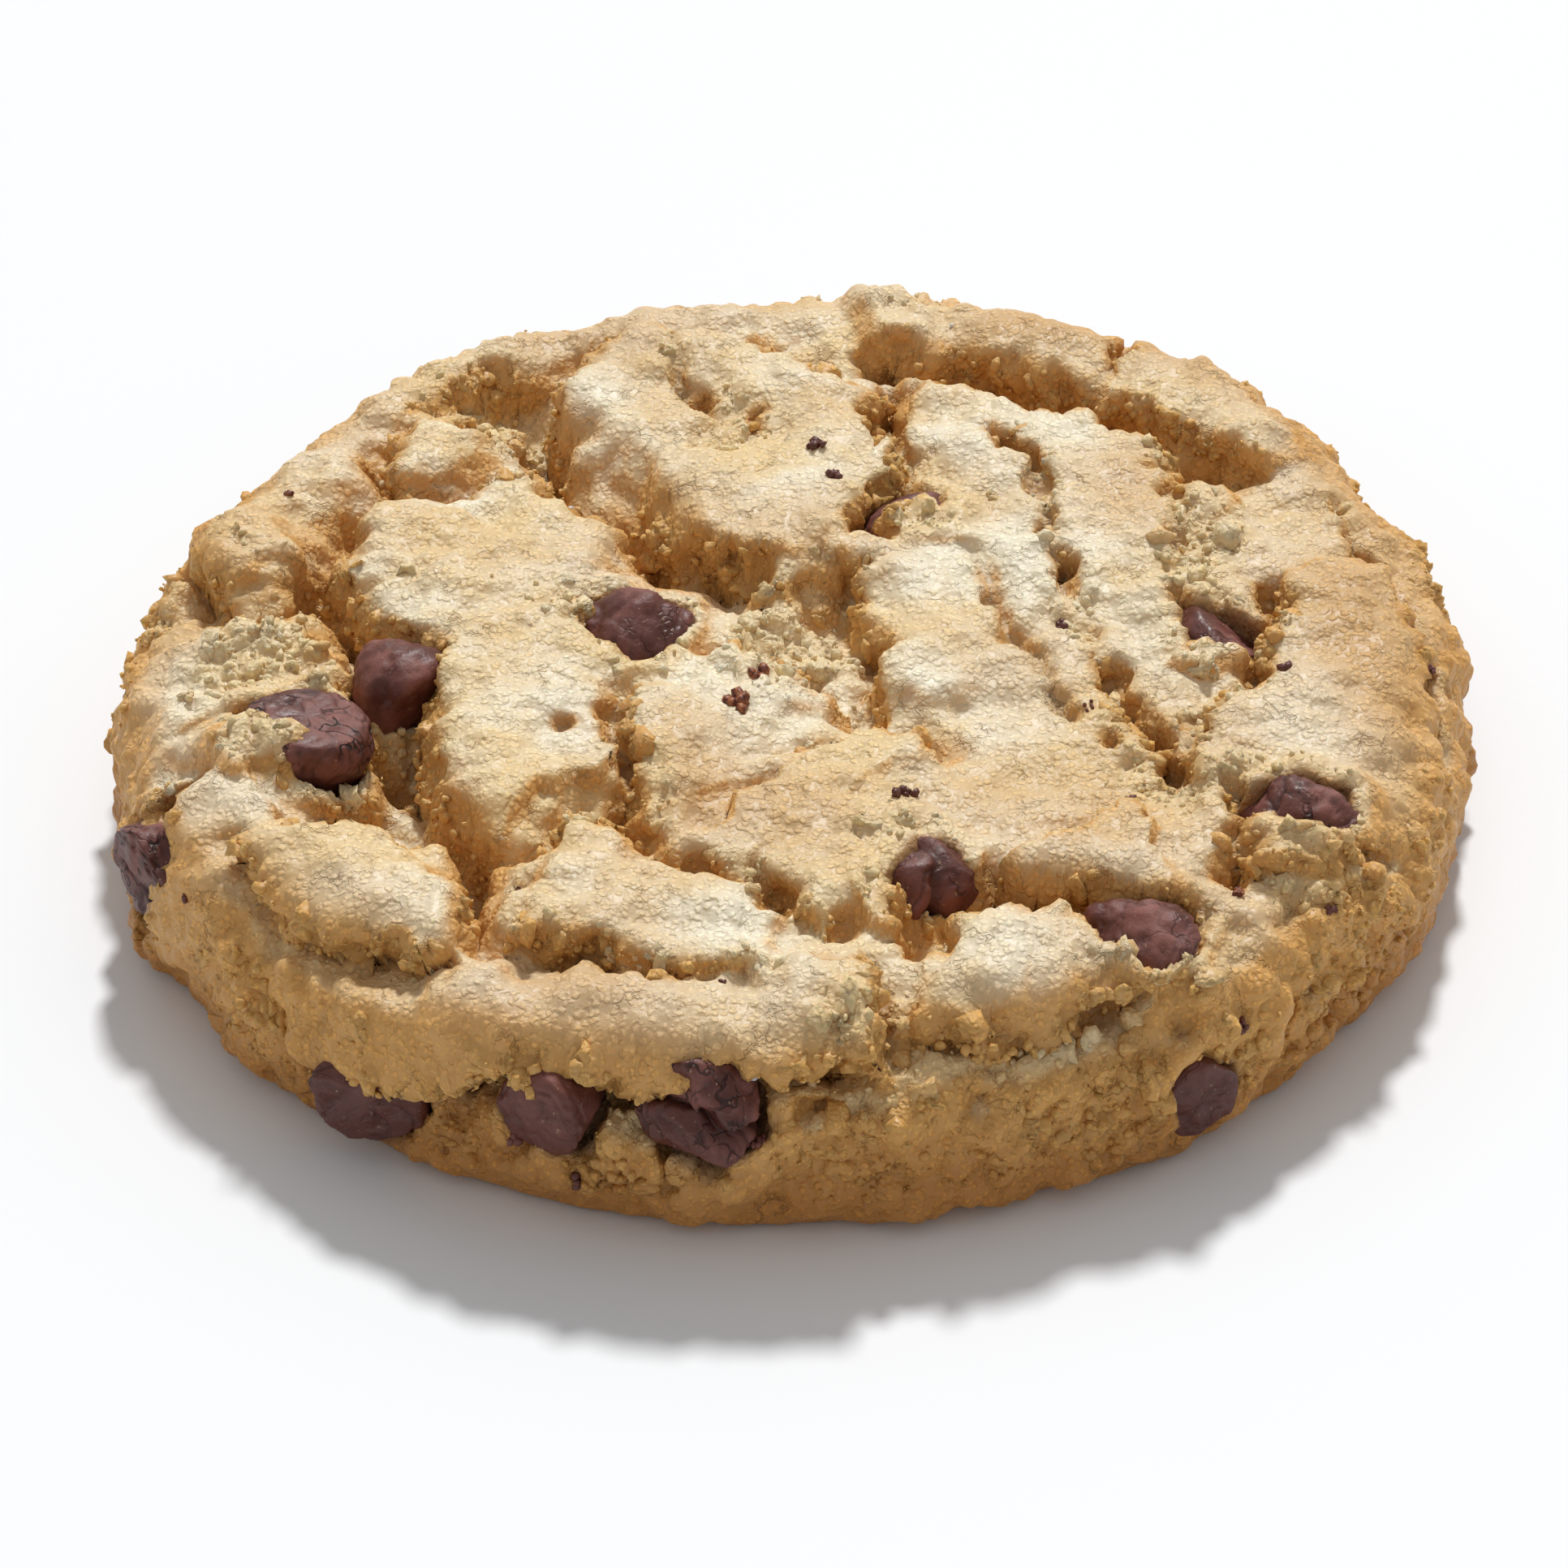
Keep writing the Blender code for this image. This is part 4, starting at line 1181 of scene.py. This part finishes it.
def colour_property(name, description, default):
    """A colour as three shares of light."""
    return FloatVectorProperty(
        name=name, description=description, default=default, subtype="COLOR", size=3, min=0, max=1
    )


def length_property(name, description, default, high=1.0):
    """A length in metres."""
    return FloatProperty(
        name=name, description=description, default=default, min=0, max=high, unit="LENGTH", precision=5
    )


def angle_property(name, description, degrees):
    """An angle, given in degrees."""
    return FloatProperty(name=name, description=description, default=math.radians(degrees), subtype="ANGLE")


def number_property(name, description, default, high):
    """A plain number from 0 up."""
    return FloatProperty(name=name, description=description, default=default, min=0, max=high)


class DoughSettings(bpy.types.PropertyGroup):
    """Sizes and colours of the dough"""

    radius: length_property("Radius", "Mean radius of the dough", 0.050)
    thickness: length_property("Thickness", "Height of the turned form", 0.015)
    top_round: length_property("Top round", "Radius of the top edge", 0.008)
    base_round: length_property("Base round", "Radius of the base edge", 0.003)
    oval: number_property("Oval", "How much longer the outline is one way", 0.025, 0.2)
    oval_turn: angle_property("Oval turn", "Direction in which the outline is longest", 64)
    crumb_depth: length_property("Crumb depth", "Height of the lumps where the dough is torn", 0.0012)
    grid: IntProperty(name="Grid", description="Cells each way of the dough's mesh", default=300, min=20, max=306)
    top_colour: colour_property("Top", "Baked skin on the slabs", (0.95, 0.86, 0.66))
    gold_colour: colour_property("Gold", "More baked patches", (0.84, 0.62, 0.32))
    crumb_colour: colour_property("Crumb", "Torn, paler dough", (0.88, 0.655, 0.34))
    # The steep colour is partly the dough's own gold and partly painted shade.
    steep_gold_and_shade_colour: colour_property("Steep", "Golden dough on the steep faces of the folds", (0.73, 0.365, 0.085))
    brown_colour: colour_property("Browned", "More baked dough at the rim and the right", (0.68, 0.42, 0.18))
    side_colour: colour_property("Side", "Browner dough low on the side", (0.50, 0.215, 0.045))
    base_colour: colour_property("Base", "Browned underside", (0.40, 0.20, 0.07))
    # The crack colour is painted shade in the cracks and holes.
    crack_shade_colour: colour_property("Crack", "Inside the hairline cracks", (0.36, 0.16, 0.035))
    speck_colour: colour_property("Speck", "Tiny dark specks", (0.22, 0.09, 0.035))
    stain_colour: colour_property("Stain", "Dough stained by melted chocolate", (0.16, 0.07, 0.04))


class ChipSettings(bpy.types.PropertyGroup):
    """Colours of the chocolate and of the sugar"""

    colour: colour_property("Chocolate", "Milk chocolate", (0.105, 0.028, 0.019))
    # The bloom colour shows only on chips high on the cookie; the low chips in shade are left darker as painted
    # shade.
    bloom_colour: colour_property("Bloom", "Paler dull patches", (0.250, 0.092, 0.074))
    # The deep colour is painted shade in the chips' cracks and grooves.
    chip_groove_shade_colour: colour_property("Deep", "Inside cracks", (0.020, 0.006, 0.005))
    dust_colour: colour_property("Dust", "Specks of dough on the chips", (0.55, 0.36, 0.22))
    burnt_colour: colour_property("Burnt", "Burnt sugar", (0.12, 0.022, 0.008))
    sugar_colour: colour_property("Sugar", "Sugar crystals", (0.82, 0.80, 0.80))
    clear_colour: colour_property("Clear", "Clearer parts of the crystals", (0.60, 0.58, 0.60))
    amber_colour: colour_property("Amber", "Lighter burnt sugar", (0.40, 0.13, 0.04))


class CrumbSettings(bpy.types.PropertyGroup):
    """How many crumbs and clumps there are, and their sizes"""

    count: IntProperty(name="Count", description="Number of crumbs", default=8500, min=1, max=9500)
    smallest: length_property("Smallest", "Size of the smallest crumbs", 0.0003)
    largest: length_property("Largest", "Size of the largest crumbs", 0.0012)
    clump_count: IntProperty(name="Clumps", description="Number of clumps", default=1900, min=1, max=2400)
    clump_smallest: length_property("Smallest clump", "Size of the smallest clumps", 0.0007)
    clump_largest: length_property("Largest clump", "Size of the largest clumps", 0.0021)


class StageSettings(bpy.types.PropertyGroup):
    """The floor, the light and the camera"""

    floor_colour: colour_property("Floor", "Colour of the floor", (0.88, 0.895, 0.91))
    sky: number_property("Sky", "Strength of the even white light", 0.43, 5)
    sun: number_property("Sun", "Strength of the lamp behind the cookie", 2.65, 20)
    sun_height: angle_property("Sun height", "Angle above the floor", 50)
    sun_turn: angle_property("Sun turn", "Direction, from the right", 83)
    sun_size: angle_property("Sun size", "Angle the lamp fills", 7)
    distance: length_property("Distance", "Camera to the cookie", 0.45, 5)
    tilt: angle_property("Tilt", "Camera angle above the floor", 35.5)
    lens: FloatProperty(name="Lens", description="Focal length in mm", default=141.0, min=10, max=400)
    shift_x: FloatProperty(name="Shift x", description="Framing to the side", default=-0.0087)
    shift_y: FloatProperty(name="Shift y", description="Framing up and down", default=-0.0442)


# ------------------------------------------------------------------------------------------------- operators

# What the steps that have run hand on to the later ones.
results = {}


def need(key):
    """What an earlier step made, or an error that names the missing one."""
    if key not in results:
        raise RuntimeError(f"the {key} isn't made yet: run the steps in order")
    return results[key]


class COOKIE_OT_dough(bpy.types.Operator):
    """Make the dough with its folds, cracks, torn crumb and chip pockets"""

    bl_idname = "cookie.dough"
    bl_label = "Dough"

    def execute(self, context):
        results["dough"] = make_dough(context.scene.cookie_dough)
        return {"FINISHED"}


class COOKIE_OT_chips(bpy.types.Operator):
    """Make every chocolate chip in its pocket"""

    bl_idname = "cookie.chips"
    bl_label = "Chips"

    def execute(self, context):
        form = need("dough")[0]
        material = results["chocolate"] = chocolate_material(context.scene.cookie_chips)
        for number, chip in enumerate(CHIPS):
            make_chip(form, chip, material, 11 + 13 * number)
        return {"FINISHED"}


class COOKIE_OT_crumbs(bpy.types.Operator):
    """Strew crumbs over the torn dough"""

    bl_idname = "cookie.crumbs"
    bl_label = "Crumbs"

    def execute(self, context):
        skin = need("dough")
        settings = context.scene.cookie_crumbs
        crumb = bpy.data.materials["baked_dough_skin"]
        make_crumbs(settings, skin, crumb)
        make_clumps(settings, skin, crumb)
        return {"FINISHED"}


class COOKIE_OT_flecks(bpy.types.Operator):
    """Set flecks of chocolate and burnt sugar spots in the dough"""

    bl_idname = "cookie.flecks"
    bl_label = "Flecks"

    def execute(self, context):
        skin = need("dough")
        settings = context.scene.cookie_chips
        crumb = bpy.data.materials["baked_dough_skin"]
        make_bits("chocolate_flecks", FLECKS, skin, need("chocolate"), 21, 5, {"bloom_and_painted_shade": 0.5})
        make_bits("burnt_spots", BURNT, skin, burnt_material(settings), 22, 14)
        # The loose crumbs take part of the steep colour, and with it part of the painted shade.
        make_bits("loose_crumbs", LOOSE, skin, crumb, 23, 7, {"steep": 0.4, "torn": 0.8})
        make_bits("sugar_crystals", SUGAR, skin, sugar_material(settings), 24, 1)
        return {"FINISHED"}


class COOKIE_OT_stage(bpy.types.Operator):
    """Make the floor, the lights and the camera"""

    bl_idname = "cookie.stage"
    bl_label = "Stage"

    def execute(self, context):
        make_stage(context.scene, context.scene.cookie_stage)
        return {"FINISHED"}


# The floor's width and how far it lies below the cookie, so that the two faces don't meet, and the height that
# the camera looks at, all in metres.
FLOOR_WIDTH = 8
FLOOR_GAP = 0.00002
LOOK_HEIGHT = 0.0075


def make_stage(scene, settings):
    """A wide pale floor, an even white sky, one soft sun behind the cookie, and the camera in front of it."""
    bpy.ops.mesh.primitive_plane_add(size=FLOOR_WIDTH, location=(0, 0, -FLOOR_GAP))
    floor = bpy.context.object
    floor.name = "floor"
    material, _, _, shader = new_material("studio_floor")
    shader.inputs["Base Color"].default_value = (*settings.floor_colour, 1)
    shader.inputs["Roughness"].default_value = 0.6
    shader.inputs["Specular IOR Level"].default_value = 0.2
    floor.data.materials.append(material)

    world = bpy.data.worlds.new("studio")
    world.use_nodes = True
    world.node_tree.nodes["Background"].inputs["Color"].default_value = (1, 1, 1, 1)
    world.node_tree.nodes["Background"].inputs["Strength"].default_value = settings.sky
    scene.world = world

    lamp = bpy.data.lights.new("sun", "SUN")
    lamp.energy = settings.sun
    lamp.angle = settings.sun_size
    sun = bpy.data.objects.new("sun", lamp)
    turn, height = settings.sun_turn, settings.sun_height
    level = math.cos(height)
    toward = Vector((math.cos(turn) * level, math.sin(turn) * level, math.sin(height)))
    sun.rotation_euler = toward.to_track_quat("Z", "Y").to_euler()
    sun.location = toward
    scene.collection.objects.link(sun)

    lens = bpy.data.cameras.new("camera")
    lens.lens = settings.lens
    lens.sensor_width = 36
    lens.shift_x = settings.shift_x
    lens.shift_y = settings.shift_y
    lens.clip_start = 0.01
    camera = bpy.data.objects.new("camera", lens)
    back = Vector((0, -math.cos(settings.tilt), math.sin(settings.tilt)))
    camera.location = Vector((0, 0, LOOK_HEIGHT)) + back * settings.distance
    camera.rotation_euler = back.to_track_quat("Z", "Y").to_euler()
    scene.collection.objects.link(camera)
    scene.camera = camera
    scene.view_settings.view_transform = "Standard"


class COOKIE_PT_panel(bpy.types.Panel):
    """The cookie's steps, in order"""

    bl_idname = "COOKIE_PT_panel"
    bl_label = "Chocolate chip cookie"
    bl_space_type = "VIEW_3D"
    bl_region_type = "UI"
    bl_category = "Cookie"

    def draw(self, context):
        for step in STEPS:
            self.layout.operator(step.bl_idname)
        for group in GROUPS:
            box = self.layout.box()
            settings = getattr(context.scene, group)
            for key in settings.__annotations__:
                box.prop(settings, key)


GROUPS = {
    "cookie_dough": DoughSettings,
    "cookie_chips": ChipSettings,
    "cookie_crumbs": CrumbSettings,
    "cookie_stage": StageSettings,
}
STEPS = (COOKIE_OT_dough, COOKIE_OT_chips, COOKIE_OT_crumbs, COOKIE_OT_flecks, COOKIE_OT_stage)
CLASSES = (*GROUPS.values(), *STEPS, COOKIE_PT_panel)


def register():
    """Make the classes and the settings known."""
    for kind in CLASSES:
        bpy.utils.register_class(kind)
    for key, kind in GROUPS.items():
        setattr(bpy.types.Scene, key, PointerProperty(type=kind))


def unregister():
    """Take them away again."""
    for key in GROUPS:
        delattr(bpy.types.Scene, key)
    for kind in reversed(CLASSES):
        bpy.utils.unregister_class(kind)


def main():
    """Run every step in order."""
    register()
    bpy.ops.cookie.dough()
    bpy.ops.cookie.chips()
    bpy.ops.cookie.crumbs()
    bpy.ops.cookie.flecks()
    bpy.ops.cookie.stage()


if __name__ == "__main__":
    main()
